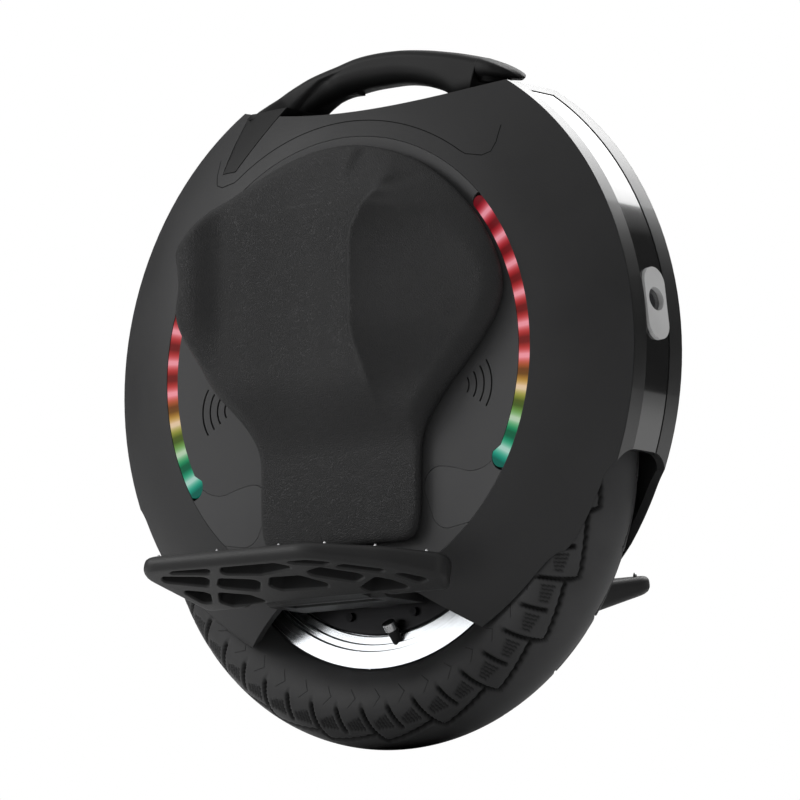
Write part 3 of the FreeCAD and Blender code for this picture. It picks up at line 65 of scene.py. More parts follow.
def addNode(tree, kind, inputs=(), output=0, **settings):
    node = tree.nodes.new(kind)
    for name, value in settings.items():
        setattr(node, name, value)
    pairs = inputs.items() if isinstance(inputs, dict) else enumerate(inputs)
    for key, value in pairs:
        if isinstance(value, Wire):
            tree.links.new(value.socket, node.inputs[key])
        elif value is not None:
            node.inputs[key].default_value = value
    return Wire(tree, node.outputs[output])


def newMaterial(name, **constants):
    material = bpy.data.materials.new(name)
    material.use_nodes = True
    tree = material.node_tree
    shader = tree.nodes["Principled BSDF"]
    for key, value in constants.items():
        shader.inputs[key.replace("_", " ")].default_value = value
    return material, tree, shader


def link(wire, shader, name):
    wire.tree.links.new(wire.socket, shader.inputs[name])


def spot(tree):
    return addNode(tree, "ShaderNodeTexCoord", output="Object")


def parted(vector):
    node = vector.tree.nodes.new("ShaderNodeSeparateXYZ")
    vector.tree.links.new(vector.socket, node.inputs[0])
    return [Wire(vector.tree, node.outputs[index]) for index in range(3)]


def aroundAxle(x, z):
    up = z - axleHeight / metre
    return up, (x * x + up * up).make("SQRT")


def noise(tree, place, scale, detail):
    return addNode(tree, "ShaderNodeTexNoise", {"Vector": place, "Scale": scale, "Detail": detail})


# the middle of a noise, from 0.3 to 0.7, is stretched over the wanted range
def spread(wire, low, high, fromLow=0.3, fromHigh=0.7):
    return addNode(wire.tree, "ShaderNodeMapRange", [wire, fromLow, fromHigh, low, high])


def blend(first, second, share):
    return first * share + second * (1 - share)


def mixed(share, low, high):
    return addNode(share.tree, "ShaderNodeMix", {0: share, 6: low, 7: high}, output=2, data_type="RGBA")


def tint(wire, low, high):
    return mixed(wire, (*low, 1), (*high, 1))


def bump(wire, strength, distance, normal=None):
    return addNode(wire.tree, "ShaderNodeBump",
                   {"Strength": strength, "Distance": distance, "Height": wire, "Normal": normal})


def grey(level):
    return (level, level, level * 1.02)


def shades(wire, level, low, high):
    return tint(wire, grey(level * low), grey(level * high))


def eased(tree, radius):
    return addNode(tree, "ShaderNodeBevel", {"Radius": radius}) if radius else None


plasticGrain = {"cloud": 14, "low": 0.93, "high": 1.07, "fineShare": 0.6, "glossier": 0.05, "duller": 0.06,
                "deep": 0.0004}


def mouldedPlastic(name, level, rough, grain, scale=900, soft=0):
    material, tree, shader = newMaterial(name, IOR=1.46, Specular_IOR_Level=0.15)
    place = spot(tree)
    cloud = noise(tree, place, plasticGrain["cloud"], detail=4)
    fine = noise(tree, place, scale, detail=2)
    uneven = cloud + (fine - 0.5) * plasticGrain["fineShare"]
    link(shades(spread(cloud, 0, 1), level, plasticGrain["low"], plasticGrain["high"]), shader, "Base Color")
    link(spread(uneven, rough - plasticGrain["glossier"], rough + plasticGrain["duller"]), shader, "Roughness")
    link(bump(fine, grain, plasticGrain["deep"], eased(tree, soft)), shader, "Normal")
    return material


metalGrain = {"turned": 2600, "drawn": 2200, "stretch": 0.06, "cloud": 30, "dark": 0.82, "glossier": 0.06,
              "duller": 0.08, "deep": 0.0002}


def metal(name, color, rough, finish, grain=0.15):
    material, tree, shader = newMaterial(name, Metallic=1.0)
    place = spot(tree)
    x, y, z = parted(place)
    if finish == "turned":
        up, radius = aroundAxle(x, z)
        lines = addNode(tree, "ShaderNodeCombineXYZ", [radius, y, 0.0])
    else:
        lines = addNode(tree, "ShaderNodeCombineXYZ", [x * metalGrain["stretch"], y, z])
    streak = noise(tree, lines, metalGrain[finish], detail=2)
    cloud = noise(tree, place, metalGrain["cloud"], detail=3)
    dark = tuple(channel * metalGrain["dark"] for channel in color)
    link(tint(spread(blend(cloud, streak, 0.5), 0, 1), dark, color), shader, "Base Color")
    link(spread(streak, rough - metalGrain["glossier"], rough + metalGrain["duller"]), shader, "Roughness")
    link(bump(streak, grain, metalGrain["deep"]), shader, "Normal")
    return material


coatGrain = {"cloud": 22, "fine": 1600, "low": 0.85, "high": 1.15, "glossier": 0.06, "duller": 0.1, "strong": 0.25,
             "deep": 0.0003, "soft": 0.0016}


def coatedMetal(name, level, rough):
    material, tree, shader = newMaterial(name, IOR=1.5, Specular_IOR_Level=0.25)
    place = spot(tree)
    cloud = noise(tree, place, coatGrain["cloud"], detail=4)
    fine = noise(tree, place, coatGrain["fine"], detail=2)
    link(shades(spread(cloud, 0, 1), level, coatGrain["low"], coatGrain["high"]), shader, "Base Color")
    link(spread(fine, rough - coatGrain["glossier"], rough + coatGrain["duller"]), shader, "Roughness")
    link(bump(fine, coatGrain["strong"], coatGrain["deep"], eased(tree, coatGrain["soft"])), shader, "Normal")
    return material


glossSmear = {"scale": 18, "dark": 0.8, "duller": 0.08}


def gloss(name, color, rough, coat):
    material, tree, shader = newMaterial(name, IOR=1.5, Coat_Weight=coat, Coat_Roughness=0.05)
    smear = noise(tree, spot(tree), glossSmear["scale"], detail=4)
    dark = tuple(channel * glossSmear["dark"] for channel in color)
    link(tint(spread(smear, 0, 1), dark, color), shader, "Base Color")
    link(spread(smear, rough, rough + glossSmear["duller"]), shader, "Roughness")
    return material


leatherGrain = {"cells": 620.0, "uneven": 0.9, "crease": 0.22, "pore": 1500, "cloud": 16, "creaseShare": 0.7,
                "cloudTint": 0.6, "cloudRough": 0.4, "low": 0.82, "high": 1.12, "rough": (0.44, 0.6), "strong": 0.55,
                "deep": 0.0006}


def leather(name, level):
    material, tree, shader = newMaterial(name, IOR=1.45, Specular_IOR_Level=0.16)
    place = spot(tree)
    cells = addNode(tree, "ShaderNodeTexVoronoi", {"Vector": place, "Scale": leatherGrain["cells"],
                                                   "Randomness": leatherGrain["uneven"]},
                    feature="DISTANCE_TO_EDGE")
    crease = spread(cells, 0, 1, 0.0, leatherGrain["crease"])
    pore = noise(tree, place, leatherGrain["pore"], detail=3)
    cloud = noise(tree, place, leatherGrain["cloud"], detail=5)
    height = blend(crease, pore, leatherGrain["creaseShare"])
    shade = blend(spread(cloud, 0, 1), crease, leatherGrain["cloudTint"])
    link(shades(shade, level, leatherGrain["low"], leatherGrain["high"]), shader, "Base Color")
    link(spread(blend(cloud, height, leatherGrain["cloudRough"]), *leatherGrain["rough"]), shader, "Roughness")
    link(bump(height, leatherGrain["strong"], leatherGrain["deep"]), shader, "Normal")
    return material


rubberGrain = {"dust": 26, "fine": 1300, "low": 0.85, "high": 1.25, "rough": (0.55, 0.72), "strong": 0.3,
               "deep": 0.0004}


def rubber(name, level):
    material, tree, shader = newMaterial(name, IOR=1.5, Specular_IOR_Level=0.15)
    place = spot(tree)
    dust = noise(tree, place, rubberGrain["dust"], detail=5)
    fine = noise(tree, place, rubberGrain["fine"], detail=3)
    link(shades(spread(dust, 0, 1), level, rubberGrain["low"], rubberGrain["high"]), shader, "Base Color")
    link(spread(blend(dust, fine, 0.5), *rubberGrain["rough"]), shader, "Roughness")
    link(bump(fine, rubberGrain["strong"], rubberGrain["deep"]), shader, "Normal")
    return material


# curled lines on the side wall, in a band about one radius; they and the tread's furrows are darkened as painted
# shade
wallDecor = {"curls": 24, "radius": 171, "twist": 38, "line": (0.012, 0.03), "band": (0.0065, 0.0072), "shade": 0.5,
             "high": 1.2, "dark": (0.002, 0.002, 0.002, 1), "rough": (0.45, 0.62), "fine": 0.25, "strong": 0.6,
             "deep": 0.0006}


def tyreRubber(name, level):
    material, tree, shader = newMaterial(name, IOR=1.5, Specular_IOR_Level=0.15)
    place = spot(tree)
    x, y, z = parted(place)
    up, radius = aroundAxle(x, z)
    turn = up.make("ARCTAN2", x) * (wallDecor["curls"] / math.pi)
    reach = (radius - wallDecor["radius"] / metre).make("ABSOLUTE")
    curl = (turn + reach * wallDecor["twist"]).make("FRACT") - 0.5
    line = spread(curl.make("ABSOLUTE"), 1, 0, *wallDecor["line"])
    decor = line * spread(reach, 1, 0, *wallDecor["band"])
    dust = noise(tree, place, rubberGrain["dust"], detail=5)
    fine = noise(tree, place, rubberGrain["fine"], detail=3)
    # painted shade: the furrow attribute holds the tread's groove depth, which darkens the rubber's colour
    furrowShade = addNode(tree, "ShaderNodeAttribute", attribute_name="furrow", output="Fac")
    plain = shades(spread(dust, 0, 1), level, rubberGrain["low"], wallDecor["high"])
    # painted shade: the furrows and the dented curled lines pull the colour towards near black
    paintedShade = (furrowShade + decor * wallDecor["shade"]).make("MINIMUM", 1.0)
    link(mixed(paintedShade, plain, wallDecor["dark"]), shader, "Base Color")
    link(spread(blend(dust, fine, 0.5), *wallDecor["rough"]), shader, "Roughness")
    link(bump(fine * wallDecor["fine"] - decor, wallDecor["strong"], wallDecor["deep"]), shader, "Normal")
    return material


# angles of a crescent's ends, spots along it, and colours by the share of the way up
stripGlow = {"centre": 273, "low": -31, "high": 42, "spots": 9, "core": (0.05, 0.42), "whitePower": 3.0,
             "whiteShare": 0.35, "white": (1, 0.75, 0.9, 1), "bright": 0.75, "dim": 0.2}
stripStops = ((0.0, (0.0, 0.5, 0.36)), (0.13, (0.01, 0.5, 0.2)), (0.22, (0.3, 0.5, 0.06)), (0.3, (0.7, 0.4, 0.05)),
              (0.38, (0.75, 0.05, 0.04)), (1.0, (0.62, 0.012, 0.035)))


def lightStrip(name):
    material, tree, shader = newMaterial(name, Base_Color=(0.01, 0.01, 0.01, 1), Roughness=0.6,
                                         Specular_IOR_Level=0.03, Emission_Strength=1.0)
    x, y, z = parted(spot(tree))
    angle = (z - stripGlow["centre"] / metre).make("ARCTAN2", x.make("ABSOLUTE"))
    along = spread(angle, 0, 1, math.radians(stripGlow["low"]), math.radians(stripGlow["high"]))
    cell = (along * stripGlow["spots"]).make("FRACT") - 0.5
    core = spread(cell.make("ABSOLUTE"), 1, 0, *stripGlow["core"])
    ramp = tree.nodes.new("ShaderNodeValToRGB")
    tree.links.new(along.socket, ramp.inputs[0])
    while len(ramp.color_ramp.elements) < len(stripStops):
        ramp.color_ramp.elements.new(0.5)
    for element, (position, color) in zip(ramp.color_ramp.elements, stripStops):
        element.position = position
        element.color = (*color, 1)
    hue = Wire(tree, ramp.outputs[0])
    white = mixed(core.make("POWER", stripGlow["whitePower"]) * stripGlow["whiteShare"], hue, stripGlow["white"])
    level = core * stripGlow["bright"] + stripGlow["dim"]
    lit = addNode(tree, "ShaderNodeVectorMath", [white, None, None, level], operation="SCALE")
    link(lit, shader, "Emission Color")
    return material


looks = {
    "shell": mouldedPlastic("shellPlastic", level=0.027, rough=0.5, grain=0.16, soft=0.0006),
    "panel": mouldedPlastic("panelPlastic", level=0.042, rough=0.46, grain=0.12),
    "cap": mouldedPlastic("capPlastic", level=0.047, rough=0.44, grain=0.1),
    "inner": mouldedPlastic("innerPlastic", level=0.008, rough=0.6, grain=0.2),
    "handle": mouldedPlastic("handlePlastic", level=0.008, rough=0.5, grain=0.2, scale=1200, soft=0.0012),
    "band": gloss("bandPlastic", (0.012, 0.012, 0.012), rough=0.3, coat=0.2),
    "strip": gloss("stripPlastic", (0.004, 0.004, 0.004), rough=0.08, coat=1.0),
    "bezel": gloss("bezelSilver", (0.5, 0.5, 0.5), rough=0.3, coat=0.2),
    "lens": gloss("lensDark", (0.02, 0.02, 0.022), rough=0.05, coat=1.0),
    "tail": gloss("tailRed", (0.4, 0.008, 0.012), rough=0.12, coat=1.0),
    "leather": leather("padLeather", level=0.02),
    "rubber": rubber("smoothRubber", level=0.016),
    "tyre": tyreRubber("tyreRubber", level=0.034),
    "seam": mouldedPlastic("seamShadow", level=0.003, rough=0.8, grain=0.1),
    "rim": metal("rimMetal", (0.8, 0.83, 0.86), rough=0.2, finish="turned"),
    "cover": metal("coverMetal", (0.022, 0.022, 0.023), rough=0.34, finish="turned", grain=0.3),
    "steel": metal("brightSteel", (0.62, 0.62, 0.63), rough=0.28, finish="drawn"),
    "drawn": metal("drawnMetal", (0.55, 0.55, 0.57), rough=0.35, finish="drawn"),
    "copper": metal("copperWire", (0.7, 0.33, 0.14), rough=0.35, finish="drawn"),
    "pedal": coatedMetal("pedalCoat", level=0.01, rough=0.5),
    # the bracket's dark coat is darkened further as painted shadow under the pedal
    "bracket": coatedMetal("bracketCoatAndShadow", level=0.007, rough=0.5),
    "board": mouldedPlastic("boardLaminate", level=0.05, rough=0.4, grain=0.1),
    "wrap": gloss("batteryWrap", (0.02, 0.07, 0.25), rough=0.3, coat=0.2),
    "lights": lightStrip("lightStrip"),
}
finishes = {
    "shell": ("left_side_shell", "right_side_shell"),
    "panel": ("left_side_panel", "right_side_panel"),
    "cap": ("left_lobe_caps", "right_lobe_caps"),
    "inner": ("wheel_arch", "top_deck", "speakers", "charge_socket", "power_button"),
    "handle": ("handle_arch", "lift_switch", "handle_latch"),
    "band": ("front_band", "rear_band"),
    "strip": ("front_strip", "rear_strip"),
    "bezel": ("headlight_bezel",),
    "lens": ("headlight_lens",),
    "tail": ("tail_light",),
    "leather": ("left_pad", "right_pad"),
    "rubber": ("inner_tube", "valve_stem", "charge_cap"),
    "tyre": ("tyre",),
    "rim": ("rim",),
    "cover": ("left_motor_cover", "right_motor_cover", "motor_cover_screws"),
    "steel": ("rotor_ring", "rotor_magnets", "stator_core", "wheel_bearings", "valve_cap", "axle",
              "axle_nuts", "left_pedal_pin", "right_pedal_pin", "left_pedal_studs", "right_pedal_studs",
              "latch_post", "trolley_rods"),
    "drawn": ("stator_hub", "trolley_mid_tubes", "trolley_guides", "controller_heatsink"),
    "copper": ("stator_windings",),
    "pedal": ("left_pedal", "right_pedal"),
    "bracket": ("left_pedal_hanger", "right_pedal_hanger"),
    "board": ("led_boards", "headlight_board", "controller_board"),
    "wrap": ("left_battery", "right_battery"),
    "lights": ("left_led_diffusers", "right_led_diffusers"),
}
for look, names in finishes.items():
    for name in names:
        mesh = cadNodes[name].data
        mesh.materials.clear()
        mesh.materials.append(looks[look])
print("stage: materials")


def makeObject(name, points, faces, look):
    mesh = bpy.data.meshes.new(name)
    mesh.from_pydata(points, [], faces)
    mesh.update()
    piece = bpy.data.objects.new(name, mesh)
    scene.collection.objects.link(piece)
    mesh.materials.append(looks[look])
    for face in mesh.polygons:
        face.use_smooth = True
    return piece


def turnOutward(piece):
    form = bmesh.new()
    form.from_mesh(piece.data)
    bmesh.ops.recalc_face_normals(form, faces=form.faces)
    form.to_mesh(piece.data)
    form.free()
    return piece


def ringFaces(first, rows, around, inward=False):
    faces = []
    for row in range(rows - 1):
        low, high = first + row * around, first + (row + 1) * around
        for step in range(around):
            after = (step + 1) % around
            if inward:
                faces.append((low + step, high + step, high + after, low + after))
            else:
                faces.append((low + step, low + after, high + after, high + step))
    return faces


def closedRings(first, rows, around, inward=False):
    last = first + (rows - 1) * around
    start, end = tuple(range(first, first + around)), tuple(range(last, last + around))
    caps = [start, end[::-1]] if inward else [start[::-1], end]
    return ringFaces(first, rows, around, inward) + caps


def settle(piece, body, slot, *replaced):
    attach(piece, body)
    if replaced:
        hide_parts(*replaced)
    return piece


def ease(low, high, value):
    share = min(max((value - low) / (high - low), 0), 1)
    return share * share * (3 - 2 * share)


def openTree(name, inputs):
    tree = bpy.data.node_groups.new(name, "GeometryNodeTree")
    tree.interface.new_socket("Geometry", in_out="OUTPUT", socket_type="NodeSocketGeometry")
    values = {}
    for label, (kind, value) in inputs.items():
        socket = tree.interface.new_socket(label, in_out="INPUT", socket_type="NodeSocket" + kind)
        values[socket.identifier] = value
    entry = tree.nodes.new("NodeGroupInput")
    return tree, {label: Wire(tree, entry.outputs[label]) for label in inputs}, values


def copied(points, instance, rotation):
    copies = addNode(points.tree, "GeometryNodeInstanceOnPoints",
                     {"Points": points, "Instance": instance, "Rotation": rotation})
    return addNode(points.tree, "GeometryNodeRealizeInstances", [copies])


def repeated(name, whole, look, values, source):
    tree = whole.tree
    painted = addNode(tree, "GeometryNodeSetMaterial", {"Geometry": whole, "Material": looks[look]})
    tree.links.new(painted.socket, tree.nodes.new("NodeGroupOutput").inputs[0])
    holder = bpy.data.objects.new(name, bpy.data.meshes.new(name + "Seed"))
    scene.collection.objects.link(holder)
    repeat = holder.modifiers.new("repeat", "NODES")
    repeat.node_group = tree
    for identifier, value in values.items():
        repeat[identifier] = value
    bpy.context.view_layer.update()
    ready = holder.evaluated_get(bpy.context.evaluated_depsgraph_get())
    mesh = bpy.data.meshes.new_from_object(ready)
    holder.modifiers.clear()
    holder.data = mesh
    bpy.data.objects.remove(source)
    for face in mesh.polygons:
        face.use_smooth = True
    return holder


# outline of a pad from the side, and the rings that cover it from the rim to its heart
padSize = {"foot": 140, "heart": 300, "widest": 318, "top": 432, "half": 147, "stemHalf": 72, "flareFrom": 203,
           "crownPower": 1.55, "farthest": 260.0, "halvings": 36, "blurs": 2, "around": 168, "rings": 54,
           "ringPower": 1.25, "base": 62.4, "lip": 1.4, "baseShare": 0.955, "lipShare": 0.985, "edge": 67}
# how far a pad stands out; pairs are heights over the ground, or places along it, where a form begins and is full
padForm = {
    "stem": 71, "hood": 93, "hoodRise": (206, 266), "hoodEase": (215, 262), "topDrop": 16, "topFall": (376, 440),
    "dish": 3, "dishAt": -26, "dishWide": 40, "calf": 10, "calfRise": (258, 326), "calfFall": (388, 424),
    "calfEdge": (88, 116), "ridge": 18, "ridgeRise": (246, 300), "ridgeFall": (376, 402), "ridgeInner": 10,
    "ridgeOuter": 1, "ridgePower": 1.6, "crest": 38, "crestUpper": 16, "upperRise": (355, 400), "crestLower": 6,
    "lowerRise": (300, 250), "slopeFoot": 77, "slopePower": 0.78, "slopeLeast": 8, "lowest": 140.5, "highest": 431,
    "rear": 0.08, "shoulderRise": (348, 368), "shoulderFall": (390, 414), "waistRise": (250, 290),
    "waistFall": (330, 358), "roll": 9, "hoodRoll": 5, "hoodRollRise": (205, 240), "frontRoll": 22,
    "frontRollRise": (330, 400), "frontFrom": 20, "rollFoot": 0.1,
}
creases = {"lines": ((52, 396, 84, 404), (56, 386, 96, 380)), "deep": 3.2, "wide": 4}


def padHalf(height):
    if height < padSize["widest"]:
        flare = padSize["half"] - padSize["stemHalf"]
        return padSize["stemHalf"] + flare * ease(padSize["flareFrom"], padSize["widest"], height)
    share = min((height - padSize["widest"]) / (padSize["top"] - padSize["widest"]), 1)
    return padSize["half"] * math.sqrt(1 - share ** padSize["crownPower"])


def padReach(angle):
    low, high = 0.0, padSize["farthest"]
    for turn in range(padSize["halvings"]):
        middle = (low + high) / 2
        x = abs(math.cos(angle)) * middle
        z = padSize["heart"] + math.sin(angle) * middle
        inside = padSize["foot"] < z < padSize["top"] and x < padHalf(z)
        low, high = (middle, high) if inside else (low, middle)
    return low


def wrinkle(x, z):
    depth = 0.0
    for startX, startZ, endX, endZ in creases["lines"]:
        runX, runZ = endX - startX, endZ - startZ
        share = ((x - startX) * runX + (z - startZ) * runZ) / (runX ** 2 + runZ ** 2)
        share = min(max(share, 0), 1)
        away = math.hypot(x - startX - share * runX, z - startZ - share * runZ)
        depth = max(depth, creases["deep"] * (1 - share) * math.exp(-(away / creases["wide"]) ** 2))
    return depth


def bulge(form, z):
    return ease(*padForm[form + "Rise"], z) * (1 - ease(*padForm[form + "Fall"], z))


def padHeight(x, z):
    half = max(padHalf(min(max(z, padForm["lowest"]), padForm["highest"])), 1)
    hood = ease(*padForm["hoodEase"], z)
    level = padForm["stem"] + (padForm["hood"] - padForm["stem"]) * ease(*padForm["hoodRise"], z)
    level -= padForm["topDrop"] * ease(*padForm["topFall"], z)
    level -= padForm["dish"] * hood * math.exp(-((x - padForm["dishAt"]) / padForm["dishWide"]) ** 2)
    level += padForm["calf"] * bulge("calf", z) * ease(*padForm["calfEdge"], -x)
    ridge = padForm["ridge"] * bulge("ridge", z)
    crest = (padForm["crest"] + padForm["crestUpper"] * ease(*padForm["upperRise"], z)
             + padForm["crestLower"] * ease(*padForm["lowerRise"], z))
    if x > crest:
        share = min((x - crest) / max(half - crest, padForm["slopeLeast"]), 1)
        peak = level + ridge
        return peak - hood * (peak - padForm["slopeFoot"]) * share ** padForm["slopePower"] - wrinkle(x, z)
    rise = ease(crest - padForm["ridgeInner"], crest + padForm["ridgeOuter"], x)
    return level + ridge * rise ** padForm["ridgePower"]


def padBase(x, z, inward):
    return padSize["base"]


def padLip(x, z, inward):
    return padSize["base"] + padSize["lip"]


def padUpper(x, z, inward):
    soft = padForm["roll"] + padForm["hoodRoll"] * ease(*padForm["hoodRollRise"], z)
    if x > padForm["frontFrom"]:
        soft += padForm["frontRoll"] * ease(*padForm["frontRollRise"], z)
    roll = math.sqrt(max(1 - (1 - min(inward / soft, 1)) ** 2, 0))
    rolled = padForm["rollFoot"] + (1 - padForm["rollFoot"]) * roll
    return padSize["edge"] + (padHeight(x, z) - padSize["edge"]) * rolled


def makePad(name, side):
    around, rings, heart = padSize["around"], padSize["rings"], padSize["heart"]
    reach = [padReach(2 * math.pi * step / around) for step in range(around)]
    for turn in range(padSize["blurs"]):
        reach = [(reach[step - 1] + 2 * reach[step] + reach[(step + 1) % around]) / 4 for step in range(around)]
    rows = [(padSize["baseShare"], padBase), (padSize["lipShare"], padLip)]
    rows += [(1 - (index / rings) ** padSize["ringPower"], padUpper) for index in range(rings)]
    points = []
    for share, height in rows:
        for step in range(around):
            angle = 2 * math.pi * step / around
            x = math.cos(angle) * reach[step] * share
            z = heart + math.sin(angle) * reach[step] * share
            if x < 0:
                x *= 1 + padForm["rear"] * (bulge("shoulder", z) - bulge("waist", z))
            y = height(x, z, reach[step] * (1 - share))
            points.append((x / metre, side * y / metre, z / metre))
    faces = ringFaces(0, len(rows), around)
    last, top, bottom = len(points) - around, len(points), len(points) + 1
    points.append((0, side * padHeight(0, heart) / metre, heart / metre))
    points.append((0, side * padSize["base"] / metre, heart / metre))
    for step in range(around):
        after = (step + 1) % around
        faces += [(last + step, last + after, top), (after, step, bottom)]
    piece = makeObject(name, points, faces if side < 0 else [face[::-1] for face in faces], "leather")
    soft = piece.modifiers.new("soften", "SUBSURF")
    soft.levels = 1
    soft.render_levels = 1
    return piece


for side, word in sides:
    pad = settle(makePad(f"{word}PadCover", side), "chassis", "pad_leather", f"{word}_pad")
print("stage: pads")


# a section of three arcs, one pitch of the tread, and the pitch's repeats
tyreSize = {"radius": 205, "half": 36.5, "crown": 47, "reach": 25, "wall": 33, "bead": 148.5, "rowStep": 1.45,
            "leastRows": 4, "wallRows": 8, "pitches": 24, "around": 47, "shadeDepth": 2.2, "merge": 0.05}
# places across the tread from its middle line; half width and depth of each kind of groove
treadSize = {"backAt": 0.88, "zigzag": 28, "swing": 9, "groove": (1.6, 3.4), "cross": (1.9, 3.0), "firstCross": 0.94,
             "nextCross": 0.44, "nextInner": 31, "crossStart": (-2, 1), "crossEnd": (47, 52), "lean": 0.007,
             "leanFrom": 24, "sipes": 5, "sipe": (0.85, 1.5), "sipeFirst": 0.12, "sipeStep": 0.06,
             "sipeStart": (32, 33.5), "sipeEnd": (42.5, 44), "foot": 0.55, "brim": 1.15}


def tyreSection():
    crownTurn = math.asin(tyreSize["reach"] / tyreSize["crown"])
    shoulder = (tyreSize["half"] - tyreSize["reach"]) / (1 - math.sin(crownTurn))
    centre = tyreSize["radius"] - tyreSize["crown"]
    widest = centre + (tyreSize["crown"] - shoulder) * math.cos(crownTurn)
    wallTurn = math.asin((widest - tyreSize["bead"]) / tyreSize["wall"])
    arcs = ((0, centre, tyreSize["crown"], 0, crownTurn),
            (tyreSize["half"] - shoulder, widest, shoulder, crownTurn, math.pi / 2),
            (tyreSize["half"] - tyreSize["wall"], widest, tyreSize["wall"], math.pi / 2, math.pi / 2 + wallTurn))
    rows = []
    run = 0.0
    for middleY, middleR, radius, start, end in arcs:
        count = max(int(radius * (end - start) / tyreSize["rowStep"]), tyreSize["leastRows"])
        if radius == tyreSize["wall"]:
            count = tyreSize["wallRows"]
        for step in range(count + (radius == tyreSize["wall"])):
            turn = start + (end - start) * step / count
            rows.append((run + radius * (turn - start), middleY + radius * math.sin(turn),
                         middleR + radius * math.cos(turn), math.sin(turn), math.cos(turn)))
        run += radius * (end - start)
    return rows


def furrow(distance, half, depth):
    return depth * (1 - ease(half * treadSize["foot"], half * treadSize["brim"], abs(distance)))


def treadDepth(across, share):
    pitch = 2 * math.pi * tyreSize["radius"] / tyreSize["pitches"]
    back = treadSize["backAt"]
    drift = share / back if share < back else (1 - share) / (1 - back)
    zigzag = treadSize["zigzag"] - treadSize["swing"] * drift
    deep = furrow(across - zigzag, *treadSize["groove"])
    early, late = treadSize["crossStart"]
    sipeFrom, sipeTo = treadSize["sipeEnd"]
    for start, inner in ((treadSize["firstCross"], zigzag), (treadSize["nextCross"], treadSize["nextInner"])):
        lean = start + (across - treadSize["leanFrom"]) * treadSize["lean"]
        along = ((share - lean + 0.5) % 1 - 0.5) * pitch
        ends = ease(inner + early, inner + late, across) * (1 - ease(*treadSize["crossEnd"], across))
        deep = max(deep, furrow(along, *treadSize["cross"]) * ends)
        for slot in range(treadSize["sipes"]):
            place = lean + treadSize["sipeFirst"] + treadSize["sipeStep"] * slot
            sipe = ((share - place + 0.5) % 1 - 0.5) * pitch
            within = ease(*treadSize["sipeStart"], across) * (1 - ease(sipeFrom - slot, sipeTo - slot, across))
            deep = max(deep, furrow(sipe, *treadSize["sipe"]) * within)
    return deep


def makeTyre():
    half = tyreSection()
    rows = [(-run, -y, r, -sinT, cosT) for run, y, r, sinT, cosT in reversed(half[1:])] + half
    around = tyreSize["around"]
    pitchTurn = 2 * math.pi / tyreSize["pitches"]
    points, furrowShade = [], []
    for step in range(around + 1):
        share = step / around
        turn = -share * pitchTurn
        for run, y, r, sinT, cosT in rows:
            local = share % 1 if run < 0 else (share + 0.5) % 1
            deep = treadDepth(abs(run), local)
            radius = r - deep * cosT
            # painted shade: each point's groove depth, as a share of shadeDepth, later darkens the tyre's colour
            furrowShade.append(min(deep / tyreSize["shadeDepth"], 1))
            points.append((radius * math.cos(turn) / metre, (y - deep * sinT) / metre,
                           radius * math.sin(turn) / metre))
    pitchPiece = makeObject("tyrePitch", points, ringFaces(0, around + 1, len(rows)), "tyre")
    pitchPiece.data.attributes.new("furrow", "FLOAT", "POINT").data.foreach_set("value", furrowShade)
    tree, given, values = openTree("tyreRepeat", {
        "Pitch": ("Object", pitchPiece), "Pitches": ("Int", tyreSize["pitches"]), "Pitch Turn": ("Float", pitchTurn),
        "Axle Height": ("Float", axleHeight / metre), "Merge Distance": ("Float", tyreSize["merge"] / metre)})
    centre = addNode(tree, "ShaderNodeCombineXYZ", [0.0, 0.0, given["Axle Height"]])
    line = addNode(tree, "GeometryNodeMeshLine",
                   {"Count": given["Pitches"], "Start Location": centre, "Offset": (0, 0, 0)})
    pitch = addNode(tree, "GeometryNodeObjectInfo", {"Object": given["Pitch"]}, output="Geometry")
    index = addNode(tree, "GeometryNodeInputIndex")
    spin = addNode(tree, "ShaderNodeCombineXYZ", [0.0, index * given["Pitch Turn"], 0.0])
    merged = addNode(tree, "GeometryNodeMergeByDistance",
                     {"Geometry": copied(line, pitch, spin), "Distance": given["Merge Distance"]})
    return repeated("tyreTread", merged, "tyre", values, pitchPiece)


tyre = settle(makeTyre(), "wheel", "tyre_rubber", "tyre")
print("stage: tyre", len(tyre.data.polygons))


# top line, underside, half width and share of the flank that the rear wing covers, from the nose back
noseStations = [
    (113, 479.5, 110, 478.5, 4, 0), (108, 484, 105, 479, 11, 0), (98, 489.3, 95, 480.5, 15, 0),
    (90, 492.6, 88, 481, 16, 0), (83, 495.2, 81, 481, 16, 0),
]
gripStations = [
    (84, 494.8, 75, 467, 16, 0), (70, 498.5, 61, 467, 16, 0), (58, 501.3, 48, 474.6, 16, 0),
    (45, 503.8, 36, 479.2, 16, 0), (28, 506.6, 22, 483, 16, 0), (8, 508.6, 6, 485.2, 16, 0),
    (-12, 508.6, -10, 485.3, 16, 0), (-30, 506.8, -26, 484.6, 16, 0), (-47, 502.8, -42, 482.4, 16, 0.04),
    (-60, 499.7, -53, 479.8, 16.4, 0.22), (-72, 496.3, -62, 477, 16.8, 0.43), (-82, 492.4, -70, 473.8, 17.2, 0.58),
    (-91, 488.2, -77, 470, 18, 0.72), (-98.4, 483.5, -82, 466, 20, 0.82), (-104, 477.5, -86, 461, 27, 0.88),
    (-108, 470, -89, 456, 36, 0.92), (-111, 460, -92, 450, 40, 0.94),
]
gripSize = {"between": 5, "crown": 1.4, "crownShares": (0, 0.35, 0.7), "brow": 5, "browWide": 0.4, "browDeep": 0.3,
            "browTurns": 4, "belly": 12, "bellyShare": 0.8, "bellyTurns": 6, "step": 2.6, "wingShown": (0.02, 0.2),
            "ledge": 0.6, "slant": 0.5, "drop": 0.1, "flankShares": (0.4, 0.8), "cut": 470, "fore": -66, "weld": 0.01,
            "sharp": 32}
# radius and height of each ring of the latch collar, from its foot up
collarRings = ((10.9, 477.6), (11.5, 478.2), (11.5, 480), (12.5, 480.6), (12.5, 483), (12.5, 486))
collarSize = {"x": 88, "lean": 0.18, "around": 48}


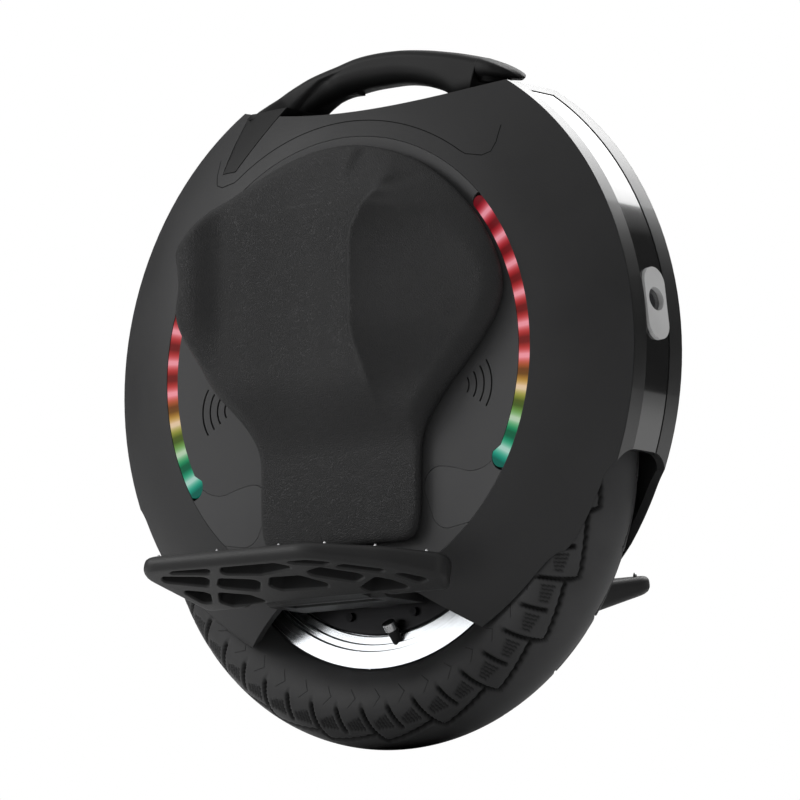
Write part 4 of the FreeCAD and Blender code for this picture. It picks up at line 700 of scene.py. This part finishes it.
# a Catmull-Rom curve through the stations
def smoothed(stations):
    rows = []
    for index in range(len(stations) - 1):
        corners = [stations[min(max(index + step, 0), len(stations) - 1)] for step in (-1, 0, 1, 2)]
        for turn in range(gripSize["between"]):
            t = turn / gripSize["between"]
            rows.append([0.5 * (2 * b + (c - a) * t + (2 * a - 5 * b + 4 * c - d) * t * t
                                + (3 * b - a - 3 * c + d) * t ** 3) for a, b, c, d in zip(*corners)])
    return rows + [list(stations[-1])]


# half of a section, as pairs of half width and depth below the top line
def flank(half, deep, wing):
    shown = ease(*gripSize["wingShown"], wing)
    brow = min(gripSize["brow"], half * gripSize["browWide"], deep * gripSize["browDeep"])
    line = max(wing * deep, brow + gripSize["ledge"])
    inner = half - gripSize["step"] * shown
    belly = min(gripSize["belly"], inner * gripSize["bellyShare"], (deep - line) * gripSize["bellyShare"])
    rows = [((half - brow) * share, -gripSize["crown"] * (1 - share ** 2)) for share in gripSize["crownShares"]]
    for turn in range(gripSize["browTurns"] + 1):
        angle = math.pi / 2 * turn / gripSize["browTurns"]
        rows.append((half - brow + brow * math.sin(angle), brow - brow * math.cos(angle)))
    rows += [(half, brow + (line - brow) * share) for share in (0.5, 1)]
    rows.append((inner, line + gripSize["slant"] * shown + gripSize["drop"]))
    start, low = line + gripSize["ledge"], deep - belly
    rows += [(inner, start + (low - start) * share) for share in gripSize["flankShares"]]
    for turn in range(gripSize["bellyTurns"] + 1):
        angle = math.pi / 2 * turn / gripSize["bellyTurns"]
        rows.append((inner - belly + belly * math.cos(angle), low + belly * math.sin(angle)))
    rows.append(((inner - belly) * 0.5, deep))
    return rows


def addLoft(points, faces, stations):
    first = len(points)
    sections = smoothed(stations)
    for topX, topZ, lowX, lowZ, half, wing in sections:
        deep = math.hypot(lowX - topX, lowZ - topZ)
        alongX, alongZ = (lowX - topX) / deep, (lowZ - topZ) / deep
        rows = flank(half, deep, wing)
        whole = [(-y, down) for y, down in rows] + [(0, deep)] + [(y, down) for y, down in reversed(rows[1:])]
        points += [((topX + alongX * down) / metre, y / metre, (topZ + alongZ * down) / metre) for y, down in whole]
    faces += closedRings(first, len(sections), (len(points) - first) // len(sections), inward=True)


def addCollar(points, faces):
    first = len(points)
    around = collarSize["around"]
    for reach, height in collarRings:
        for step in range(around):
            angle = 2 * math.pi * step / around
            fore = reach * math.cos(angle)
            points.append(((collarSize["x"] + fore) / metre, reach * math.sin(angle) / metre,
                           (height - collarSize["lean"] * fore) / metre))
    faces += closedRings(first, len(collarRings), around)


# a copy of the CAD handle, of which only the tongues stay, below the cut and behind the fore plane
def handleTongues():
    form = bmesh.new()
    form.from_mesh(cadNodes["handle_arch"].data)
    bmesh.ops.remove_doubles(form, verts=form.verts, dist=gripSize["weld"] / metre)
    for normal, place in ((Vector((0, 0, 1)), gripSize["cut"]), (Vector((1, 0, 0)), gripSize["fore"])):
        everything = form.verts[:] + form.edges[:] + form.faces[:]
        bmesh.ops.bisect_plane(form, geom=everything, plane_co=normal * (place / metre), plane_no=normal,
                               clear_outer=True)
        bmesh.ops.holes_fill(form, edges=[edge for edge in form.edges if edge.is_boundary])
    for face in form.faces:
        face.smooth = True
    tongues = bpy.data.meshes.new("handleTongues")
    form.to_mesh(tongues)
    form.free()
    return tongues


def makeHandle():
    points, faces = [], []
    addLoft(points, faces, noseStations)
    addLoft(points, faces, gripStations)
    addCollar(points, faces)
    piece = turnOutward(makeObject("handleGrip", points, faces, "handle"))
    tongues = handleTongues()
    whole = bmesh.new()
    whole.from_mesh(piece.data)
    whole.from_mesh(tongues)
    whole.to_mesh(piece.data)
    whole.free()
    bpy.data.meshes.remove(tongues)
    piece.data.set_sharp_from_angle(angle=math.radians(gripSize["sharp"]))
    return piece


handleGrip = settle(makeHandle(), "handle", "shell_plastic", "handle_arch")
print("stage: handle", len(handleGrip.data.polygons))


# plan of a pedal seen from above: along, outwards from the hinge, corner radius
pedalPlan = [(-103, 8, 9), (-123, 80, 17), (36, 79, 50), (90, 55, 60), (126, 27, 16), (116, 8, 8), (66, 8, 8),
             (58, 12.5, 8), (-58, 12.5, 8), (-66, 8, 8)]
# corners of the hollows between the ribs of its underside
pedalCells = [
    [(-92, 70), (-60, 64), (-52, 72), (-87, 73)],
    [(-51, 62), (-18, 56), (18, 62), (5, 71), (-43, 72)],
    [(-107, 59), (-74, 46), (-62, 60), (-101, 67)],
    [(-68, 44), (-37, 33), (-24, 49), (-56, 57)],
    [(-97, 23), (-89, 22), (-79, 38), (-102, 46)],
    [(-82, 22), (-76, 15), (-48, 14), (-42, 18), (-49, 29), (-72, 37)],
    [(-24, 39), (-18, 31), (22, 29), (27, 35), (12, 50), (-14, 51)],
    [(21, 67), (42, 61), (54, 64), (33, 71), (14, 71.5)],
    [(46, 58), (80, 43), (88, 47), (60, 60)],
    [(22, 48), (50, 33), (68, 42), (37, 59), (22, 55)],
    [(87, 40), (100, 23), (111, 27), (108, 32), (98, 39.5)],
    [(48, 25), (50, 16), (82, 16), (89, 20), (81, 32), (72, 38)],
]
pedalSize = {"hinge": 80, "height": 108, "tilt": 11, "top": 10.6, "heel": -13.5, "slope": 0.168, "cornerSteps": 8,
             "cornerShare": 0.48, "round": 4.5, "roundSteps": 5, "skin": 4, "cellRound": 4.5, "cellSteps": 4,
             "mouth": 1.0, "below": 4, "belowFlare": 2, "knuckle": 9, "knuckleHalf": 40, "knuckleAround": 32,
             "webReach": 20, "webLow": -9.5, "webHigh": 6, "sharp": 30}
studSize = {"along": (-104, -50, 6, 44, 78, 108), "inset": 9, "outerFrom": 20, "sunk": 0.3, "sides": 20, "top": 0.8,
            "foot": 1.7, "depth": 3.2}


def rounded(corners, steps):
    path = []
    for index, (x, y, reach) in enumerate(corners):
        before = Vector(corners[index - 1][:2])
        after = Vector(corners[(index + 1) % len(corners)][:2])
        here = Vector((x, y))
        toBack, toFore = (before - here).normalized(), (after - here).normalized()
        half = toBack.angle(toFore) / 2
        run = min(reach / math.tan(half), (before - here).length * pedalSize["cornerShare"],
                  (after - here).length * pedalSize["cornerShare"])
        reach = run * math.tan(half)
        centre = here + (toBack + toFore).normalized() * (reach / math.sin(half))
        start, end = here + toBack * run - centre, here + toFore * run - centre
        turn = math.atan2(start.x * end.y - start.y * end.x, start.dot(end))
        for step in range(steps + 1):
            angle = turn * step / steps
            path.append((centre.x + start.x * math.cos(angle) - start.y * math.sin(angle),
                         centre.y + start.x * math.sin(angle) + start.y * math.cos(angle)))
    return path


def insetPath(path, inset):
    moved = []
    for index, (x, y) in enumerate(path):
        beforeX, beforeY = path[index - 1]
        afterX, afterY = path[(index + 1) % len(path)]
        length = math.hypot(afterX - beforeX, afterY - beforeY) or 1
        moved.append((x + inset * (afterY - beforeY) / length, y - inset * (afterX - beforeX) / length))
    return moved


def underside(y):
    return pedalSize["heel"] + pedalSize["slope"] * y


def pedalSlab():
    path = rounded(pedalPlan, pedalSize["cornerSteps"])
    edge, turns = pedalSize["round"], pedalSize["roundSteps"]
    angles = [math.pi / 2 * turn / turns for turn in range(turns + 1)]
    points = []
    for angle in angles:
        ring = insetPath(path, edge * (1 - math.sin(angle)))
        points += [(x, y, underside(y) + edge * (1 - math.cos(angle))) for x, y in ring]
    for angle in angles:
        ring = insetPath(path, edge * (1 - math.cos(angle)))
        points += [(x, y, pedalSize["top"] - edge * (1 - math.sin(angle))) for x, y in ring]
    faces = closedRings(0, 2 * len(angles), len(path), inward=True)
    return turnOutward(makeObject("pedalSlab", points, faces, "pedal"))


def pedalCutter():
    points, faces = [], []
    mouth = pedalSize["mouth"]
    for cell in pedalCells:
        first = len(points)
        corners = [(x, y, pedalSize["cellRound"]) for x, y in reversed(cell)]
        path = rounded(corners, pedalSize["cellSteps"])
        wide = insetPath(path, -mouth - pedalSize["belowFlare"])
        points += [(x, y, underside(y) - pedalSize["below"]) for x, y in wide]
        points += [(x, y, underside(y)) for x, y in insetPath(path, -mouth)]
        points += [(x, y, underside(y) + mouth) for x, y in path]
        points += [(x, y, pedalSize["top"] - pedalSize["skin"]) for x, y in path]
        faces += closedRings(first, 4, len(path), inward=True)
    return turnOutward(makeObject("pedalCells", points, faces, "pedal"))


# from the pedal's own plan to its place at a side; the left pedal is the same part turned round
def seated(point, side):
    x, y, z = point
    tilt = math.radians(pedalSize["tilt"])
    out = pedalSize["hinge"] + y * math.cos(tilt) - z * math.sin(tilt)
    height = pedalSize["height"] + y * math.sin(tilt) + z * math.cos(tilt)
    return (-side * x / metre, side * out / metre, height / metre)


def addPrism(points, faces, profile):
    first = len(points)
    for x in (-pedalSize["knuckleHalf"], pedalSize["knuckleHalf"]):
        points += [(x, y, z) for y, z in profile]
    faces += closedRings(first, 2, len(profile))


def makePedal():
    slab, cutter = pedalSlab(), pedalCutter()
    trim = slab.modifiers.new("cells", "BOOLEAN")
    trim.operation = "DIFFERENCE"
    trim.solver = "EXACT"
    trim.object = cutter
    bpy.context.view_layer.update()
    mesh = bpy.data.meshes.new_from_object(slab.evaluated_get(bpy.context.evaluated_depsgraph_get()))
    bpy.data.objects.remove(slab)
    bpy.data.objects.remove(cutter)
    points = [tuple(vertex.co) for vertex in mesh.vertices]
    faces = [tuple(face.vertices) for face in mesh.polygons]
    bpy.data.meshes.remove(mesh)
    reach, around = pedalSize["knuckle"], pedalSize["knuckleAround"]
    angles = [2 * math.pi * step / around for step in range(around)]
    addPrism(points, faces, [(reach * math.cos(angle), reach * math.sin(angle)) for angle in angles])
    web = pedalSize["webReach"]
    addPrism(points, faces, [(0, -reach), (web, pedalSize["webLow"]), (web, pedalSize["webHigh"]), (0, reach)])
    return points, faces


def studSpots():
    path = insetPath(rounded(pedalPlan, pedalSize["cornerSteps"]), studSize["inset"])
    spots = []
    for along in studSize["along"]:
        for (startX, startY), (endX, endY) in zip(path, path[1:]):
            if startX <= along < endX and startY > studSize["outerFrom"]:
                spots.append((along, startY + (endY - startY) * (along - startX) / (endX - startX)))
    return spots


def makeStuds(name, side):
    places = [seated((x, y, pedalSize["top"] - studSize["sunk"]), side) for x, y in studSpots()]
    spots = makeObject(name + "Spots", places, [], "steel")
    tree, given, values = openTree(name + "Repeat", {
        "Spots": ("Object", spots), "Sides": ("Int", studSize["sides"]),
        "Top Radius": ("Float", studSize["top"] / metre), "Foot Radius": ("Float", studSize["foot"] / metre),
        "Depth": ("Float", studSize["depth"] / metre), "Lean": ("Float", side * math.radians(pedalSize["tilt"]))})
    ground = addNode(tree, "GeometryNodeObjectInfo", {"Object": given["Spots"]}, output="Geometry")
    stud = addNode(tree, "GeometryNodeMeshCone",
                   {"Vertices": given["Sides"], "Radius Top": given["Top Radius"],
                    "Radius Bottom": given["Foot Radius"], "Depth": given["Depth"]}, output="Mesh")
    lean = addNode(tree, "ShaderNodeCombineXYZ", [given["Lean"], 0.0, 0.0])
    return repeated(name, copied(ground, stud, lean), "steel", values, spots)


pedalPoints, pedalFaces = makePedal()
for side, word in sides:
    turned = [face[::-1] for face in pedalFaces]
    pedal = makeObject(f"{word}PedalPlate", [seated(point, side) for point in pedalPoints], turned, "pedal")
    pedal.data.set_sharp_from_angle(angle=math.radians(pedalSize["sharp"]))
    settle(pedal, f"{word}_pedal", "pedal_metal", f"{word}_pedal")
    settle(makeStuds(f"{word}PedalStuds", side), f"{word}_pedal", "steel", f"{word}_pedal_studs")
print("stage: pedals", len(pedalFaces))


# a dark line on each shell: an arc over the light crescents, and an ear at either end
seamSize = {"half": 0.35, "proud": 0.08, "centre": 273, "radius": 178, "endX": 102, "arcSteps": 60, "step": 2.5,
            "earX": 106, "earDrop": 2.2, "rayFrom": 200}
seamEar = [(128.5, 437), (128, 424), (125.5, 417), (119, 414.6)]


def surfaceTree(name):
    mesh = cadNodes[name].data
    return BVHTree.FromPolygons([vertex.co for vertex in mesh.vertices], [face.vertices for face in mesh.polygons])


def seamPath():
    reach, steps = seamSize["radius"], seamSize["arcSteps"]
    stop = math.acos(seamSize["endX"] / reach)
    angles = [stop + (math.pi - 2 * stop) * step / steps for step in range(steps + 1)]
    path = [(reach * math.cos(angle), seamSize["centre"] + reach * math.sin(angle)) for angle in angles]
    ear = seamEar + [(seamSize["earX"], path[0][1] - seamSize["earDrop"])]
    return ear + path + [(-x, z) for x, z in reversed(ear)]


def divided(path):
    fine = []
    for (startX, startZ), (endX, endZ) in zip(path, path[1:]):
        count = max(int(math.hypot(endX - startX, endZ - startZ) / seamSize["step"]), 1)
        for step in range(count):
            share = step / count
            fine.append((startX + (endX - startX) * share, startZ + (endZ - startZ) * share))
    return fine + [path[-1]]


def makeSeam(name, path, side, hit):
    fine = divided(path)
    points = []
    for index, (x, z) in enumerate(fine):
        beforeX, beforeZ = fine[max(index - 1, 0)]
        afterX, afterZ = fine[min(index + 1, len(fine) - 1)]
        length = math.hypot(afterX - beforeX, afterZ - beforeZ) or 1
        sideX, sideZ = -(afterZ - beforeZ) / length, (afterX - beforeX) / length
        for sign in (-1, 1):
            spotX = (x + sign * seamSize["half"] * sideX) / metre
            spotZ = (z + sign * seamSize["half"] * sideZ) / metre
            start = Vector((spotX, side * seamSize["rayFrom"] / metre, spotZ))
            found = hit.ray_cast(start, Vector((0, -side, 0)))[0]
            if found is None:
                return None
            points.append(tuple(found + Vector((0, side * seamSize["proud"] / metre, 0))))
    faces = [(2 * index, 2 * index + 1, 2 * index + 3, 2 * index + 2) for index in range(len(fine) - 1)]
    return makeObject(name, points, faces, "seam")


for side, word in sides:
    seam = makeSeam(f"{word}CoverSeam", seamPath(), side, surfaceTree(f"{word}_side_shell"))
    print("seam", word, seam is not None)
    if seam:
        settle(seam, "chassis", "shell_plastic")
print("stage: seams")

# picture's width and the axle's place in pixels, scale in pixels for a millimetre
cameraSize = {"pixels": 800, "scale": 1.382, "axle": (398.5, 467.5), "distance": 7.0, "sensor": 36, "clip": 60,
              "right": (0.790, 0.613, 0), "towards": (0.607, -0.782, -0.139)}
right = Vector(cameraSize["right"]).normalized()
towards = Vector(cameraSize["towards"]).normalized()
up = towards.cross(right).normalized()
middle = cameraSize["pixels"] / 2
shiftX = (middle - cameraSize["axle"][0]) / cameraSize["scale"] / metre
shiftY = (cameraSize["axle"][1] - middle) / cameraSize["scale"] / metre
target = Vector((0, 0, axleHeight / metre)) + right * shiftX + up * shiftY
pictureWidth = cameraSize["pixels"] / cameraSize["scale"] / metre
cameraData = bpy.data.cameras.new("camera")
cameraData.sensor_width = cameraSize["sensor"]
cameraData.lens = cameraSize["sensor"] * cameraSize["distance"] / pictureWidth
cameraData.clip_end = cameraSize["clip"]
camera = bpy.data.objects.new("camera", cameraData)
scene.collection.objects.link(camera)
camera.location = target + towards * cameraSize["distance"]
camera.rotation_mode = "QUATERNION"
camera.rotation_quaternion = (-towards).to_track_quat("-Z", "Y")
scene.camera = camera

lampAim = Vector((0, 0, 0.25))


def areaLight(name, place, size, power):
    data = bpy.data.lights.new(name, "AREA")
    data.shape = "DISK"
    data.size = size
    data.energy = power
    lamp = bpy.data.objects.new(name, data)
    scene.collection.objects.link(lamp)
    lamp.location = place
    lamp.rotation_mode = "QUATERNION"
    lamp.rotation_quaternion = (lampAim - Vector(place)).to_track_quat("-Z", "Y")


areaLight("keyLight", (-2.55, -1.8, 1.65), size=1.6, power=60)
areaLight("cardLight", (-1.9, -2.5, 0.75), size=1.8, power=13)
areaLight("backLight", (-0.14, 1.98, 2.06), size=2.0, power=38)
areaLight("frontLight", (2.4, -0.6, 0.9), size=1.2, power=6)

# the camera sees plain white, and the part is lit by a dome that is dark below the horizon
domeSize = {"low": 0.06, "high": 0.95, "horizon": 0.5, "full": 0.62, "seen": 1.0}
world = bpy.data.worlds.new("studio")
scene.world = world
world.use_nodes = True
worldTree = world.node_tree
background = worldTree.nodes["Background"]
background.inputs["Color"].default_value = (1, 1, 1, 1)
direct = addNode(worldTree, "ShaderNodeLightPath", output="Is Camera Ray")
heading = parted(addNode(worldTree, "ShaderNodeTexCoord", output="Generated"))[2]
dome = spread(heading, domeSize["low"], domeSize["high"], domeSize["horizon"], domeSize["full"])
strength = addNode(worldTree, "ShaderNodeMix", {0: direct, 2: dome, 3: domeSize["seen"]}, data_type="FLOAT")
link(strength, background, "Strength")
scene.view_settings.view_transform = "Standard"

# the camera stands below the floor, so the floor is clear from its back
floorHalf = 6.0
floorMesh = bpy.data.meshes.new("floor")
floorMesh.from_pydata([(-floorHalf, -floorHalf, 0), (floorHalf, -floorHalf, 0), (floorHalf, floorHalf, 0),
                       (-floorHalf, floorHalf, 0)], [], [(0, 1, 2, 3)])
floor = bpy.data.objects.new("floor", floorMesh)
scene.collection.objects.link(floor)
floorMaterial, floorTree, floorShader = newMaterial("paleFloor", Base_Color=(0.9, 0.9, 0.9, 1), Roughness=0.6)
backs = addNode(floorTree, "ShaderNodeNewGeometry", output="Backfacing")
clear = addNode(floorTree, "ShaderNodeBsdfTransparent")
solid = Wire(floorTree, floorShader.outputs[0])
surface = addNode(floorTree, "ShaderNodeMixShader", [backs, solid, clear])
link(surface, floorTree.nodes["Material Output"], "Surface")
floorMesh.materials.append(floorMaterial)
print("stage: camera, lights, floor")
